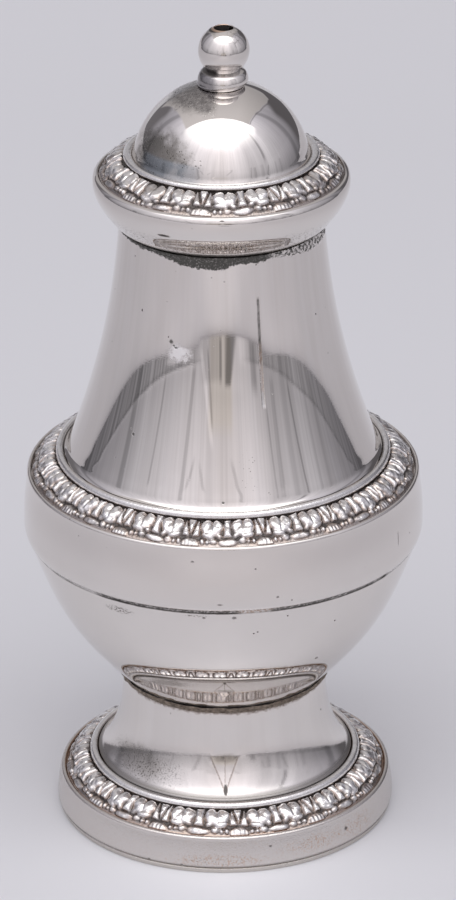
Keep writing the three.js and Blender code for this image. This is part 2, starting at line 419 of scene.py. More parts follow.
def plate(name, rough=0.035, wave=1.0, marks=None, base=SILVER, lines=0.3, pits=1.0, oxide_and_shade=OXIDE_AND_SHADE, streaks=0.0):
    """Polished silver plate. marks(g, c) returns a dark mask, a bump height or None, a bright mask or None, and perhaps
    a copper mask and a (mask, colour, roughness) film. streaks = depth of the painted reflections: faint upright light
    and dark streaks in the colour."""
    m, g, bsdf = new_material(name)
    c = Coords(g)
    cyl = g.combine(g.mul(g.math("SINE", c.theta), 10.0), g.mul(g.math("COSINE", c.theta), 10.0), g.mul(c.z, 9.0))
    blotch = g.noise(c.mm, 0.16, 3.0, 0.55)
    cloud = g.noise(c.mm, 0.9, 3.0, 0.6)
    col = g.mix(g.lin(blotch, 0.35, 0.7, 0.0, 0.55), base, tuple(0.955 * b for b in base))
    # painted reflection: faint upright light and dark streaks in the colour
    if streaks:
        round_ = (g.mul(g.math("SINE", c.theta), 9.0), g.mul(g.math("COSINE", c.theta), 9.0), g.mul(c.z, 0.035))
        streak_noise = g.noise(g.combine(*round_), 1.0, 3.0, 0.65)
        col = g.mix(g.lin(streak_noise, 0.40, 0.66, 0.0, streaks), col, (0.50, 0.455, 0.43))
        streak_noise = g.noise(g.vmath("ADD", g.combine(*round_), (31.0, 7.0, 3.0)), 1.0, 3.0, 0.65)
        col = g.mix(g.lin(streak_noise, 0.45, 0.68, 0.0, streaks), col, (0.90, 0.89, 0.89))
    # pits: a few small dark dots, most of them shallow
    d = g.cells(c.mm, 0.55)
    few = g.step(g.noise(c.mm, 0.35, 1.0), 0.56, 0.66)
    pit = g.mul(g.step(d, 0.075, 0.045), g.mul(few, pits))
    rings = g.noise(cyl, 1.0, 3.0, 0.6)
    hair = g.noise(g.combine(g.mul(c.x, 1.1), g.mul(c.y, 1.1), g.mul(c.z, 0.12)), 5.0, 2.0, 0.5)
    r = g.lin(cloud, 0.3, 0.75, rough * 0.8, rough * 1.4)
    r = g.add_(r, g.lin(hair, 0.62, 0.74, 0.0, 0.04))
    dark = pit
    height = g.mul(pit, -1.0)
    if marks is not None:
        extra, lift, bright, *more = marks(g, c)
        dark = g.most(dark, extra)
        if lift is not None:
            height = g.add_(height, lift)
        if len(more) > 1:
            film, film_col, film_rough = more[1]
            col = g.mix(film, col, film_col)
            r = g.mixf(film, r, film_rough)
        if more and more[0] is not None:
            col = g.mix(more[0], col, COPPER)
        if bright is not None:
            col = g.mix(bright, col, (0.93, 0.91, 0.89))
    col = g.mix(g.mul(dark, 0.9), col, oxide_and_shade)
    r = g.mixf(dark, r, 0.55)
    g.put(bsdf.inputs["Base Color"], col)
    bsdf.inputs["Metallic"].default_value = 1.0
    g.put(bsdf.inputs["Roughness"], r)
    soft_wave = g.noise(c.mm, 0.11, 1.0, 0.4)
    n1 = g.bump(soft_wave, 0.00005 * wave, 1.0)
    n2 = g.bump(rings, 0.0000018, lines, n1)
    n3 = g.bump(height, 0.00004, 0.8, n2)
    g.put(bsdf.inputs["Normal"], n3)
    return m


def relief_material(name, copper=1.0):
    """Stamped strip: oxidised brown-black in the recesses, bright where it was rubbed, and painted shade that darkens
    the colour down the flanks of the bosses.
    """
    m, g, bsdf = new_material(name)
    c = Coords(g)
    h = g.attribute("relief")
    n = g.noise(c.mm, 3.2, 3.0, 0.6)
    level = g.add_(h, g.mul(g.sub(n, 0.5), 0.34))
    shine = g.step(level, 0.04, 0.40)
    worn = g.noise(c.mm, 1.3, 3.0, 0.6)
    # colour by height: oxide in the grooves and bright rubbed tops, with painted shade down the flanks that stands in
    # for the dark reflections between the bosses
    shaded_metal = g.ramp(level, [(0.0, (0.095, 0.085, 0.080)), (0.15, (0.20, 0.180, 0.172)), (0.34, (0.43, 0.402, 0.390)),
                           (0.58, (0.70, 0.675, 0.662)), (0.82, (0.93, 0.915, 0.905))])
    shaded_metal = g.mix(g.lin(worn, 0.45, 0.75, 0.0, 0.5), shaded_metal, g.mix(1.0, shaded_metal, (0.74, 0.70, 0.69), "MULTIPLY"))
    edge = g.mul(g.step(level, 0.05, 0.25), g.step(level, 0.70, 0.36))
    warm = g.mul(edge, g.mul(g.step(g.noise(c.mm, 0.8, 2.0), 0.38, 0.58), 0.26 * copper))
    col = shaded_metal
    col = g.mix(g.most(warm, g.mul(g.attribute("rub"), 0.85)), col, COPPER)
    g.put(bsdf.inputs["Base Color"], col)
    bsdf.inputs["Metallic"].default_value = 1.0
    g.put(bsdf.inputs["Roughness"], g.mixf(shine, 0.42, g.lin(worn, 0.3, 0.75, 0.06, 0.15)))
    g.put(bsdf.inputs["Normal"], g.bump(g.noise(c.mm, 4.2, 3.0, 0.65), 0.00006, 0.6))
    return m


def solder_material(name, base, dark, metallic=0.75):
    m, g, bsdf = new_material(name)
    c = Coords(g)
    n = g.noise(c.mm, 2.6, 4.0, 0.65)
    n2 = g.noise(c.mm, 9.0, 3.0, 0.6)
    col = g.mix(g.lin(n, 0.35, 0.65), dark, base)
    col = g.mix(g.lin(n2, 0.55, 0.75, 0.0, 0.45), col, COPPER)
    g.put(bsdf.inputs["Base Color"], col)
    bsdf.inputs["Metallic"].default_value = metallic
    g.put(bsdf.inputs["Roughness"], g.lin(n2, 0.3, 0.7, 0.35, 0.65))
    g.put(bsdf.inputs["Normal"], g.bump(g.add_(n, g.mul(n2, 0.5)), 0.00018, 0.8))
    return m


def brass_material(name):
    m, g, bsdf = new_material(name)
    c = Coords(g)
    n = g.noise(c.mm, 1.1, 4.0, 0.6)
    lines = g.noise(g.combine(g.mul(c.theta, 1.2), 0.0, g.mul(c.z, 14.0)), 1.0, 2.0)
    col = g.mix(g.lin(n, 0.35, 0.7), (0.70, 0.62, 0.44), (0.50, 0.44, 0.31))
    col = g.mix(g.lin(g.noise(c.mm, 2.7, 3.0), 0.6, 0.75, 0.0, 0.8), col, (0.20, 0.16, 0.11))
    g.put(bsdf.inputs["Base Color"], col)
    bsdf.inputs["Metallic"].default_value = 1.0
    g.put(bsdf.inputs["Roughness"], g.lin(n, 0.3, 0.7, 0.22, 0.42))
    g.put(bsdf.inputs["Normal"], g.bump(lines, 0.000006, 0.5))
    return m


def fibre_material(name):
    m, g, bsdf = new_material(name)
    c = Coords(g)
    n = g.noise(c.mm, 2.2, 5.0, 0.65)
    specks = g.noise(c.mm, 11.0, 2.0)
    col = g.mix(g.lin(n, 0.3, 0.7), (0.40, 0.26, 0.16), (0.24, 0.145, 0.085))
    col = g.mix(g.lin(specks, 0.6, 0.72, 0.0, 0.5), col, (0.52, 0.42, 0.30))
    g.put(bsdf.inputs["Base Color"], col)
    g.put(bsdf.inputs["Roughness"], g.lin(n, 0.3, 0.7, 0.75, 0.95))
    g.put(bsdf.inputs["Normal"], g.bump(g.add_(n, specks), 0.00008, 0.7))
    return m


# ------------------------------------------------------------------ the stamped strip
def lens(x, y, cx, cy, rx, ry, turn=0.0, power=2.0):
    """Height of a rounded boss, 1 at its middle and 0 at its edge."""
    a = math.radians(turn)
    dx, dy = x - cx, y - cy
    u = (dx * math.cos(a) + dy * math.sin(a)) / rx
    v = (-dx * math.sin(a) + dy * math.cos(a)) / ry
    d = (np.abs(u) ** power + np.abs(v) ** power) ** (2.0 / power)
    return np.sqrt(np.clip(1 - d, 0, 1))


def wedge(x, y, y0, y1, left0, right0, left1, right1, round_=0.16):
    """A bar between two slanting sides, from height y0 to y1, with rounded edges."""
    t = np.clip((y - y0) / (y1 - y0), 0, 1)
    lo, hi = left0 + (left1 - left0) * t, right0 + (right1 - right0) * t
    d = np.minimum(np.minimum(x - lo, hi - x), np.minimum(y - y0, y1 - y))
    return np.sqrt(np.clip(1 - (1 - np.clip(d / round_, 0, 1)) ** 2, 0, 1))


def motif(x, y):
    """Traditional leaf-and-dart strip: x runs 0 (bar) to 4.16 (dart), y 0 (outer edge) to 2.7 (inner edge). Height 0 to 1."""
    h = np.zeros_like(x)

    def put(shape, top):
        nonlocal h
        h = np.maximum(h, shape * top)

    def full(s):
        return s

    # bar with wider ends, a tongue and a small tongue under it
    half = 0.40 + 0.13 * np.abs((y - 1.75) / 0.9) ** 2
    d = np.minimum(half - np.abs(x), np.minimum(y - 0.84, 2.68 - y))
    put(np.sqrt(np.clip(1 - (1 - np.clip(d / 0.34, 0, 1)) ** 2, 0, 1)), 0.92)
    put(full(lens(x, y, 0.0, 0.38, 1.16, 0.38, 0, 2.2)), 0.80)
    put(full(lens(x, y, 1.58, 0.44, 0.46, 0.32, -8)), 0.70)
    # heart-shaped leaf: two lobes with a notch between them, tapering to a curled tip on the dart's side
    heart = np.maximum(lens(x, y, 1.20, 1.99, 0.76, 0.73, 14, 2.3), lens(x, y, 2.46, 1.99, 0.78, 0.73, -14, 2.3))
    heart = np.maximum(heart, lens(x, y, 1.84, 1.58, 1.22, 0.74, 0, 2.3))
    vein = np.exp(-((x - 1.83 - 0.12 * (1.9 - y)) / 0.12) ** 2) * sstep(y, 0.9, 1.5)
    put(full(heart) * (1 - 0.32 * vein), 1.0)
    put(full(lens(x, y, 2.24, 1.00, 0.82, 0.38, 10, 2.2)), 0.90)
    put(full(lens(x, y, 1.00, 1.04, 0.40, 0.31, 24)), 0.70)
    # dart: a middle wedge and two side wedges, parted by a V
    t = np.clip((y - 0.94) / 1.74, 0, 1)
    d = np.minimum(0.56 * t - np.abs(x - 4.16), np.minimum(y - 0.94, 2.66 - y))
    put(np.sqrt(np.clip(1 - (1 - np.clip(d / 0.2, 0, 1)) ** 2, 0, 1)), 0.90)
    d = np.minimum(4.02 - 0.56 * t - x, np.minimum(x - 3.20 - 0.10 * t, np.minimum(y - 0.88, 2.66 - y)))
    put(np.sqrt(np.clip(1 - (1 - np.clip(d / 0.2, 0, 1)) ** 2, 0, 1)), 0.82)
    # scalloped arch of small ribs under the dart
    d = np.abs((x - 4.16) / 1.04) ** 2.4 + np.abs((y - 0.06) / 0.72) ** 2.4
    arch = np.sqrt(np.clip(1 - d, 0, 1))
    ribs = 0.5 + 0.5 * np.cos((x - 4.16) * 2 * np.pi / 0.42)
    put(arch ** 0.7 * (0.66 + 0.34 * ribs * sstep(y, 0.66, 0.34)), 0.80)
    # pearls between the tongues and the arch
    put(full(lens(x, y, 2.86, 0.40, 0.28, 0.28)), 0.80)
    put(full(lens(x, y, 2.28, 0.38, 0.26, 0.24)), 0.70)
    return h


def soften(a, sx, sy):
    """Gaussian blur: wraps along the first axis, mirrors along the second."""
    def kernel(s):
        n = int(math.ceil(3 * s))
        k = np.exp(-0.5 * (np.arange(-n, n + 1) / max(s, 1e-6)) ** 2)
        return k / k.sum(), n
    kx, nx = kernel(sx)
    ky, ny = kernel(sy)
    out = sum(w * np.roll(a, i - nx, axis=0) for i, w in enumerate(kx))
    pad = np.pad(out, ((0, 0), (ny, ny)), mode="edge")
    return sum(w * pad[:, i:i + a.shape[1]] for i, w in enumerate(ky))


def ornament_band(name, strip, lip, bead, under, periods, phase_deg, cells, depth, lift, seed, rub=0.8):
    """A stamped ring. strip is the smooth face (outer edge to inner edge) that carries the motif; lip leads up to it from
    the outside, bead follows it inwards, under closes the ring below. cells = vertices per period, rub = how far the
    silver is rubbed off along the edges."""
    rng = np.random.default_rng(seed)
    rows = 52
    s = run(strip, 0.02)
    d = np.r_[0, np.cumsum(np.hypot(*np.diff(s, axis=0).T))]
    t = np.linspace(0, d[-1], rows)
    face = np.stack([np.interp(t, d, s[:, 0]), np.interp(t, d, s[:, 1])], 1)
    tan = np.gradient(face, axis=0)
    tan /= np.hypot(*tan.T)[:, None]
    nrm = np.stack([tan[:, 1], -tan[:, 0]], 1)
    if (nrm[:, 1]).mean() < 0:
        nrm = -nrm
    seg = periods * cells
    th = theta_of(seg)
    width = d[-1]
    phase = math.radians(phase_deg)
    turn = ((th - phase) / (2 * np.pi) * periods) % 1.0  # 0 and 1 at the dart, 0.5 at the bar
    k = np.floor((th - phase) / (2 * np.pi) * periods).astype(int) % periods
    x = np.abs(turn - 0.5) * 2 * 4.16
    side = np.where(turn < 0.5, 0, 1)
    X = np.repeat(x[:, None], rows, 1)
    Y = np.repeat((t / width * 2.7)[None], seg, 0)
    # hand-cut dies and wear: each half period is a little different, and soft in places
    shift = rng.normal(0, 0.06, (periods, 2, 2))
    gain = 1 + rng.normal(0, 0.11, (periods, 2))
    wob = smooth_noise(np.repeat(th[:, None], rows, 1), Y, seed + 1, periods * 7, 1.1) * 0.08
    wob2 = smooth_noise(np.repeat(th[:, None], rows, 1), Y, seed + 2, periods * 7, 1.1) * 0.08
    taper = np.sin(np.clip(X / 4.16, 0, 1) * np.pi)
    H = motif(X + taper * (shift[k, side, 0][:, None] + wob), Y + taper * shift[k, side, 1][:, None] + wob2)
    H *= 1 + (gain[k, side][:, None] - 1) * taper
    H = soften(H, cells / 140.0, 0.7)
    H = H * (0.90 + 0.10 * smooth_noise(np.repeat(th[:, None], rows, 1), Y, seed + 3, periods * 16, 2.6)
             + 0.13 * smooth_noise(np.repeat(th[:, None], rows, 1), Y, seed + 4, periods * 5, 1.0))
    H += 0.09 * smooth_noise(np.repeat(th[:, None], rows, 1), Y, seed + 5, periods * 22, 3.0)
    H = np.clip(H, 0, 1)
    fade = sstep(Y, 0.0, 0.05) * sstep(Y, 2.7, 2.66)
    H = H * fade
    # the ground between the bosses rises to the outer edge
    outer = 1 - sstep(Y, 0.0, 0.45)
    ridge = -depth * (1 - 0.6 * outer) * (1 - H) + lift * H
    H = np.maximum(H, 0.34 * outer)
    R = face[:, 0][None] + nrm[:, 0][None] * ridge
    Z = face[:, 1][None] + nrm[:, 1][None] * ridge
    # plain parts of the ring
    lip_p, bead_p, under_p = np.asarray(lip, float), run(bead, 0.07), np.asarray(under, float)
    cols_r, cols_z, cols_h, cols_c = [], [], [], []

    def row(r, z, h, copper):
        for cols, v in ((cols_r, r), (cols_z, z), (cols_h, h), (cols_c, copper)):
            cols.append(np.broadcast_to(np.asarray(v, float), (seg,)))

    for q in lip_p:
        row(q[0], q[1], 0.5, rub)
    for i in range(rows):
        row(R[:, i], Z[:, i], H[:, i], rub * sstep(t[i], 0.16, 0.04))
    n = len(bead_p)
    for i, q in enumerate(bead_p):
        row(q[0], q[1], 0.1 if i in (0, n - 1) else 1.0, rub * sstep(i, 0.66 * n, 0.86 * n))
    for q in under_p:
        row(q[0], q[1], 0.2, 0.0)
    RR, ZZ, HH, CC = np.array(cols_r), np.array(cols_z), np.array(cols_h), np.array(cols_c)
    mid = np.stack([RR.mean(1), ZZ.mean(1)], 1)
    if area_sign(mid) < 0:
        RR, ZZ, HH, CC = RR[::-1], ZZ[::-1], HH[::-1], CC[::-1]
    T = np.repeat(th[None], len(RR), 0)
    v = np.stack([RR * np.sin(T), -RR * np.cos(T), ZZ], -1).reshape(-1, 3) * MM
    ob = mesh_object(name, v, ring_grid(len(RR), seg).tolist(), 55.0)
    at = ob.data.attributes.new("relief", "FLOAT", "POINT")
    at.data.foreach_set("value", HH.ravel().astype(np.float32))
    at = ob.data.attributes.new("rub", "FLOAT", "POINT")
    at.data.foreach_set("value", CC.ravel().astype(np.float32))
    return ob


# ------------------------------------------------------------------ pieces of the foot
pieces = []


def done(ob, body, nodes, slot, *materials):
    for m in materials:
        ob.data.materials.append(m)
    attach(ob, body)
    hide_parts(*nodes)
    pieces.append(ob)
    return ob


def dents(seed, amount, per_mm=0.12, nx=10):
    def warp(t, r, z):
        w = smooth_noise(t, z, seed, nx, per_mm) * amount
        return w, np.zeros_like(w)
    return warp


def rim_marks(g, c):
    warp = g.mul(g.sub(g.noise(c.mm, 3.0, 2.0), 0.5), 0.9)
    dots = g.most(
        c.spot(-26.5, 1.0, 0.6, 0.12, 0.4, warp),
        c.spot(-14.8, 1.0, 0.5, 0.10, 0.4, warp),
        c.spot(45.5, 2.79, 0.7, 0.24, 0.4, warp),
        c.spot(15.5, 3.29, 0.5, 0.11, 0.4, warp),
    )
    fine = g.noise(c.mm, 6.5, 3.0, 0.7)
    speck = g.step(fine, 0.62, 0.72)
    low = g.mul(g.step(c.z, 1.2, 0.85), 0.5)
    # silver worn through to the copper: fine specks, more of them on the right, and the inner edge of the bead
    worn = g.step(g.noise(c.mm, 4.0, 3.0, 0.7), 0.50, 0.60)
    wide = g.mul(g.sub(g.noise(c.mm, 0.9, 3.0, 0.6), 0.5), 1.6)
    patches = g.most(c.spot(-2.0, 1.7, 13.0, 0.75, 0.6, wide), g.mul(c.spot(33.0, 2.6, 12.0, 0.8, 0.6, wide), 0.9),
                     g.mul(c.spot(52.0, 2.5, 8.0, 1.1, 0.6, wide), 0.8))
    worn = g.mul(worn, g.add_(0.10, g.mul(patches, 0.55)))
    bead = g.mul(g.step(c.r, 19.66, 19.58), g.mul(g.step(c.z, 4.2, 4.4), 0.8))
    nicks = g.mul(g.step(c.z, 1.05, 0.85), g.step(g.noise(g.combine(g.mul(c.deg, 0.35), 0.0, 0.0), 1.0, 2.0, 0.6), 0.60, 0.68))
    stain = g.mul(patches, g.mul(g.step(fine, 0.55, 0.68), 0.75))
    return g.most(g.mul(dots, 0.8), g.mul(speck, 0.22), stain, g.mul(nicks, 0.8), low), g.mul(g.sub(fine, 0.5), 0.8), None, g.most(worn, bead)


m_rim = plate("plate_rim", rough=0.13, wave=0.7, marks=rim_marks, base=(0.70, 0.665, 0.64), lines=0.7)
m_base = plate("plate_base", rough=0.22, wave=0.7, base=(0.60, 0.565, 0.53), lines=1.0)

done(
    turned("foot_base", join(
        run([[16.8, 0], [20.05, 0]], 0.8), run([[20.05, 0], [20.22, 0.07], [20.3, 0.2]], 0.06),
        run([[20.3, 0.2], [20.3, 0.55]], 0.2), run([[20.3, 0.55], [20.15, 0.7]], 0.1),
        run([[20.15, 0.7], [16.8, 0.7]], 0.8), run([[16.8, 0.7], [16.8, 0]], 0.4)), warp=dents(3, 0.02)),
    "pot", ["foot_base_ring"], "satin_plate", m_base)

done(
    turned("foot_wall", join(
        run([[19.7, 0.8], [20.25, 0.8]], 0.2), run([[20.25, 0.8], [20.44, 0.88], [20.5, 1.1]], 0.06),
        run([[20.5, 1.1], [20.42, 2.2], [20.24, 3.5], [20.08, 4.28]], 0.2),
        run([[20.08, 4.28], [20.06, 4.46], [19.93, 4.62], [19.76, 4.69], [19.6, 4.66], [19.5, 4.54], [19.46, 4.38]], 0.05),
        run([[19.46, 4.38], [19.2, 4.3]], 0.1), run([[19.2, 4.3], [15.55, 6.82]], 0.5), run([[15.55, 6.82], [15.45, 6.2]], 0.3),
        run([[15.45, 6.2], [18.9, 3.75], [19.4, 3.1], [19.62, 2.0], [19.7, 0.8]], 0.4)), warp=dents(5, 0.02)),
    "pot", ["foot_rim"], "polished_plate", m_rim)

m_relief_foot = relief_material("relief_foot", 1.0)
m_relief_shoulder = relief_material("relief_shoulder", 0.9)
m_relief_cap = relief_material("relief_cap", 0.7)

done(
    ornament_band(
        "foot_strip",
        strip=[[19.42, 4.62], [19.2, 5.0], [18.84, 5.44], [18.26, 5.98], [17.62, 6.40], [17.0, 6.66], [16.6, 6.8]],
        lip=[[19.34, 4.40], [19.40, 4.50]],
        bead=[[16.5, 6.74], [16.45, 6.98], [16.3, 7.2], [16.06, 7.32], [15.82, 7.31], [15.62, 7.2], [15.52, 7.04], [15.52, 6.98]],
        under=[[16.5, 6.36], [17.8, 5.5], [19.0, 4.62]],
        periods=12, phase_deg=5.0, cells=120, depth=0.36, lift=0.10, seed=11, rub=0.5),
    "pot", ["foot_ornament_band"], "oxidised_relief", m_relief_foot)


def stem_marks(g, c):
    n = g.noise(c.mm, 1.6, 4.0, 0.65)
    n2 = g.noise(c.mm, 5.0, 3.0, 0.6)
    top = g.step(g.add_(c.z, g.mul(g.sub(n, 0.5), 1.0)), 16.95, 17.35)
    # painted shadow: darker low down, in the groove above the foot's bead
    low = g.mul(g.step(c.z, 7.9, 7.45), 0.6)
    brown = g.mul(top, g.lin(n2, 0.35, 0.65, 0.25, 0.9))
    # specks on the left, and painted shade along a thin crease on each side of the dent in front and at its tip
    left = g.mul(c.spot(-48.0, 9.2, 22.0, 1.5, 0.5, g.mul(g.sub(n, 0.5), 1.6)), g.step(n2, 0.50, 0.64))
    tip = c.spot(DENT[0] + 0.2, DENT[1] + 0.30, 1.0, 0.55, 0.35, g.mul(g.sub(n2, 0.5), 0.6))
    bent = g.mul(g.sub(n2, 0.5), 0.22)
    crease = g.most(c.line((DENT[0] - 7.6, 11.75), (DENT[0] - 0.4, 8.2), 0.08, 13.4, 0.6, bent),
                    c.line((DENT[0] + 6.8, 11.75), (DENT[0] + 0.6, 8.2), 0.08, 13.4, 0.6, bent),
                    g.mul(c.line((DENT[0], 11.9), (DENT[0], 8.8), 0.07, 13.2, 0.6, bent), 0.7))
    crease = g.mul(crease, g.lin(n2, 0.35, 0.6, 1.0, 0.45))
    # painted reflection: a faint dark line across the front, where the tent's hem shows in the stem
    hem = g.mul(g.step(g.math("ABSOLUTE", g.sub(c.z, 11.85)), 0.12, 0.03), g.step(g.math("ABSOLUTE", c.deg), 24.0, 16.0))
    hem = g.mul(hem, g.step(g.noise(c.mm, 1.4, 2.0), 0.40, 0.55))
    dark = g.most(brown, low, g.mul(left, 0.75), g.mul(tip, 0.95), g.mul(crease, 0.6), g.mul(hem, 0.3))
    # tarnish low on the left, and a warm grey patch at the top of the dent
    stain = g.mul(g.sub(g.noise(c.mm, 0.9, 3.0), 0.5), 1.1)
    film = g.most(g.mul(c.spot(-50.0, 9.4, 17.0, 1.5, 0.5, stain), 0.55), g.mul(c.spot(DENT[0], 11.6, 6.2, 0.5, 0.4, stain), 0.5))
    return (dark, g.mul(g.sub(n2, 0.5), 0.12), None, g.mul(g.most(crease, top), g.lin(n2, 0.3, 0.6, 0.0, 0.45)),
            (film, (0.36, 0.33, 0.30), 0.16))


DENT = (0.1, 7.9, 11.9, 14.3, 7.8)  # the small dent in front: angle, lowest point, widest at, highest point, half width in degrees


def stem_warp(t, r, z):
    w = smooth_noise(t, z, 7, 9, 0.1) * 0.004
    deg = (np.degrees(t) + 180) % 360 - 180
    half = DENT[4] * np.where(z < DENT[2], (z - DENT[1]) / (DENT[2] - DENT[1]), (DENT[3] - z) / (DENT[3] - DENT[2]))
    inside = np.clip(1 - np.abs(deg - DENT[0]) / np.clip(half, 0.05, None), 0, 1) * (half > 0)
    depth = 0.11 * np.clip(half / DENT[4], 0, 1) ** 0.6
    return w - inside * depth * (r > 12.05) * (z > 7.2), np.zeros_like(w)


m_stem = plate("plate_stem", rough=0.032, wave=0.8, marks=stem_marks, base=(0.80, 0.765, 0.735), lines=0.8, streaks=0.08)
done(
    turned("foot_spool", join(
        run([[15.3, 7.12], [15.42, 7.2], [15.4, 7.27], [15.2, 7.42], [14.95, 7.68], [14.72, 7.95], [14.2, 8.65], [13.75, 9.45], [13.13, 11.0], [12.64, 13.0], [12.4, 15.0], [12.2, 17.0], [12.12, 17.45]], 0.14),
        run([[12.12, 17.45], [11.4, 16.95]], 0.3),
        run([[11.4, 16.95], [11.6, 15.0], [11.86, 13.0], [12.4, 11.0], [13.1, 9.3], [14.1, 7.9], [14.75, 7.12]], 0.4),
        run([[14.75, 7.12], [15.3, 7.12]], 0.2)), 720, warp=stem_warp),
    "pot", ["foot_stem"], "satin_plate", m_stem)

m_solder = solder_material("solder_brown", (0.34, 0.29, 0.235), (0.10, 0.08, 0.065))
# how dark the girdle's seam is, by the angle: filed clean in most places, open and black in others
SEAM = [(-180.0, 0.15), (-61.0, 0.12), (-58.0, 0.45), (-45.0, 0.40), (-40.0, 0.25), (-38.6, 0.95), (3.2, 0.95), (5.5, 0.35),
        (13.0, 0.30), (14.6, 0.90), (52.5, 0.85), (53.4, 1.0), (54.8, 1.0), (56.0, 0.20), (100.0, 0.12), (180.0, 0.15)]


def seam_level(g, c):
    return g.ramp(g.lin(c.deg, -180.0, 180.0), [((a + 180.0) / 360.0, v) for a, v in SEAM])


def seam_marks(g, c):
    rough = g.noise(c.mm, 3.0, 3.0, 0.65)
    open_ = g.mul(seam_level(g, c), g.lin(rough, 0.36, 0.54, 0.40, 1.0))
    warm = g.mul(g.step(g.math("ABSOLUTE", g.sub(c.deg, 9.0)), 6.5, 3.5), g.step(rough, 0.45, 0.60))
    # where the seam was filed clean the solder is brushed dull and its colour painted lighter, a painted light that
    # hides the shade of the crevice
    filed_and_lightened = g.sub(1.0, seam_level(g, c))
    return open_, g.mul(g.sub(rough, 0.5), 1.6), None, g.mul(warm, 0.7), (g.mul(filed_and_lightened, 0.9), (0.84, 0.805, 0.78), 0.22)


m_seam = plate("plate_seam", rough=0.10, wave=1.0, marks=seam_marks, oxide_and_shade=(0.030, 0.026, 0.022))


def rough_bead(t, r, z):
    n = smooth_noise(t, z * 3, 21, 90, 0.8) * 0.09 + smooth_noise(t, z * 3, 22, 260, 1.4) * 0.05
    k = sstep(r, 12.25, 12.5)
    return n * k, smooth_noise(t, z, 23, 120, 0.6) * 0.06 * k


done(
    turned("stem_solder", join(run([[12.22, 17.35], [12.5, 17.55], [12.70, 17.95]], 0.08),
                               run([[12.70, 17.95], [12.62, 18.2]], 0.08),
                               run([[12.62, 18.2], [12.36, 17.9], [12.22, 17.6], [12.22, 17.35]], 0.15)),
           warp=rough_bead, sharp=60),
    "pot", ["stem_solder_bead"], "solder", m_solder)


# ------------------------------------------------------------------ pieces of the body
def bowl_marks(g, c):
    warp = g.mul(g.sub(g.noise(c.mm, 2.6, 3.0), 0.5), 0.9)
    dots = g.most(
        c.spot(3.0, 35.38, 0.62, 0.20, 0.4, warp),
        c.spot(-5.8, 35.38, 0.45, 0.14, 0.4, warp),
        c.spot(34.5, 26.47, 0.6, 0.14, 0.4, warp),
        g.mul(c.spot(-32.5, 34.7, 4.2, 0.45, 0.5), g.step(g.noise(c.mm, 4.5, 3.0, 0.7), 0.49, 0.57)),
        g.mul(c.spot(-8.0, 35.6, 3.0, 0.14, 0.5), g.step(g.noise(c.mm, 4.5, 3.0, 0.7), 0.50, 0.58)),
    )
    n = g.noise(c.mm, 1.3, 4.0, 0.65)
    low = g.mul(g.step(g.add_(c.z, g.mul(g.sub(n, 0.5), 1.2)), 18.9, 18.2), 0.85)
    seam = g.mul(g.step(g.add_(c.z, g.mul(g.sub(n, 0.5), 0.12)), 35.86, 36.0), seam_level(g, c))
    return g.most(g.mul(dots, 0.75), low, seam), g.mul(dots, -0.8), None


m_bowl = plate("plate_bowl", rough=0.03, wave=0.9, marks=bowl_marks)
done(
    turned_cup("bowl_shell", join(
        run([[0, 14.3], [4.5, 14.55], [8.0, 15.4], [10.3, 16.5], [12.12, 17.8]], 0.5),
        run([[12.12, 17.8], [13.2, 19.0], [15.02, 21.0], [17.14, 23.5], [18.91, 26.0], [20.58, 29.0], [21.86, 32.0], [22.62, 34.0], [23.12, 35.45], [23.3, 36.05]], 0.25),
        run([[23.3, 36.05], [22.46, 36.05]], 0.3),
        run([[22.46, 36.05], [22.28, 35.4], [21.78, 34.0], [21.04, 32.0], [19.78, 29.0], [18.12, 26.0], [16.42, 23.7], [14.35, 21.35], [12.4, 19.3], [9.8, 17.3], [6.5, 15.8], [0, 15.1]], 0.6)),
        warp=dents(9, 0.004, 0.08, 7)),
    "pot", ["bowl"], "polished_plate", m_bowl)

def seam_warp(t, r, z):
    """Rough where it is open; where it was filed clean, the solder slopes up from the bowl to the girdle's wall."""
    deg = (np.degrees(t) + 180) % 360 - 180
    full = 1 - np.interp(deg, [a for a, _ in SEAM], [v for _, v in SEAM])
    rough = smooth_noise(t, z, 31, 160, 0.5) * 0.05 + smooth_noise(t, z, 32, 420, 0.5) * 0.03
    outer = sstep(r, 23.15, 23.3)
    up = np.clip((z - 36.06) / 0.35, 0, 1)
    return (rough * (1 - 0.8 * full) + full * (0.05 + 0.29 * up)) * outer, full * outer * 0.59 * up


done(
    turned("body_seam", join(run([[22.5, 36.06], [23.26, 36.06]], 0.3), run([[23.26, 36.06], [23.36, 36.2], [23.46, 36.41]], 0.07),
                             run([[23.46, 36.41], [22.5, 36.41]], 0.3), run([[22.5, 36.41], [22.5, 36.06]], 0.2)), 720,
           warp=seam_warp, sharp=50),
    "pot", ["body_seam_solder"], "solder", m_seam)


def girdle_marks(g, c):
    warp = g.mul(g.sub(g.noise(c.mm, 2.6, 3.0), 0.5), 0.9)
    dots = g.most(
        c.spot(-8.8, 42.77, 0.45, 0.12, 0.4, warp),
        c.spot(15.2, 38.08, 0.40, 0.12, 0.4, warp),
        c.spot(-1.0, 37.48, 0.75, 0.10, 0.4, warp),
        c.line((59.8, 41.08), (59.5, 39.48), 0.07, 23.8, 0.4),
    )
    n = g.noise(c.mm, 1.1, 4.0, 0.65)
    seam = g.mul(g.step(g.add_(c.z, g.mul(g.sub(n, 0.5), 0.12)), 36.58, 36.44), seam_level(g, c))
    # where the seam was filed clean the plate is brushed dull and its colour painted lighter, a painted light that
    # hides the shade of the crevice
    filed_and_lightened = g.mul(g.sub(1.0, seam_level(g, c)), g.step(c.z, 37.1, 36.6))
    return g.most(g.mul(dots, 0.7), seam), g.mul(dots, -0.8), None, None, (g.mul(filed_and_lightened, 0.9), (0.84, 0.805, 0.78), 0.22)


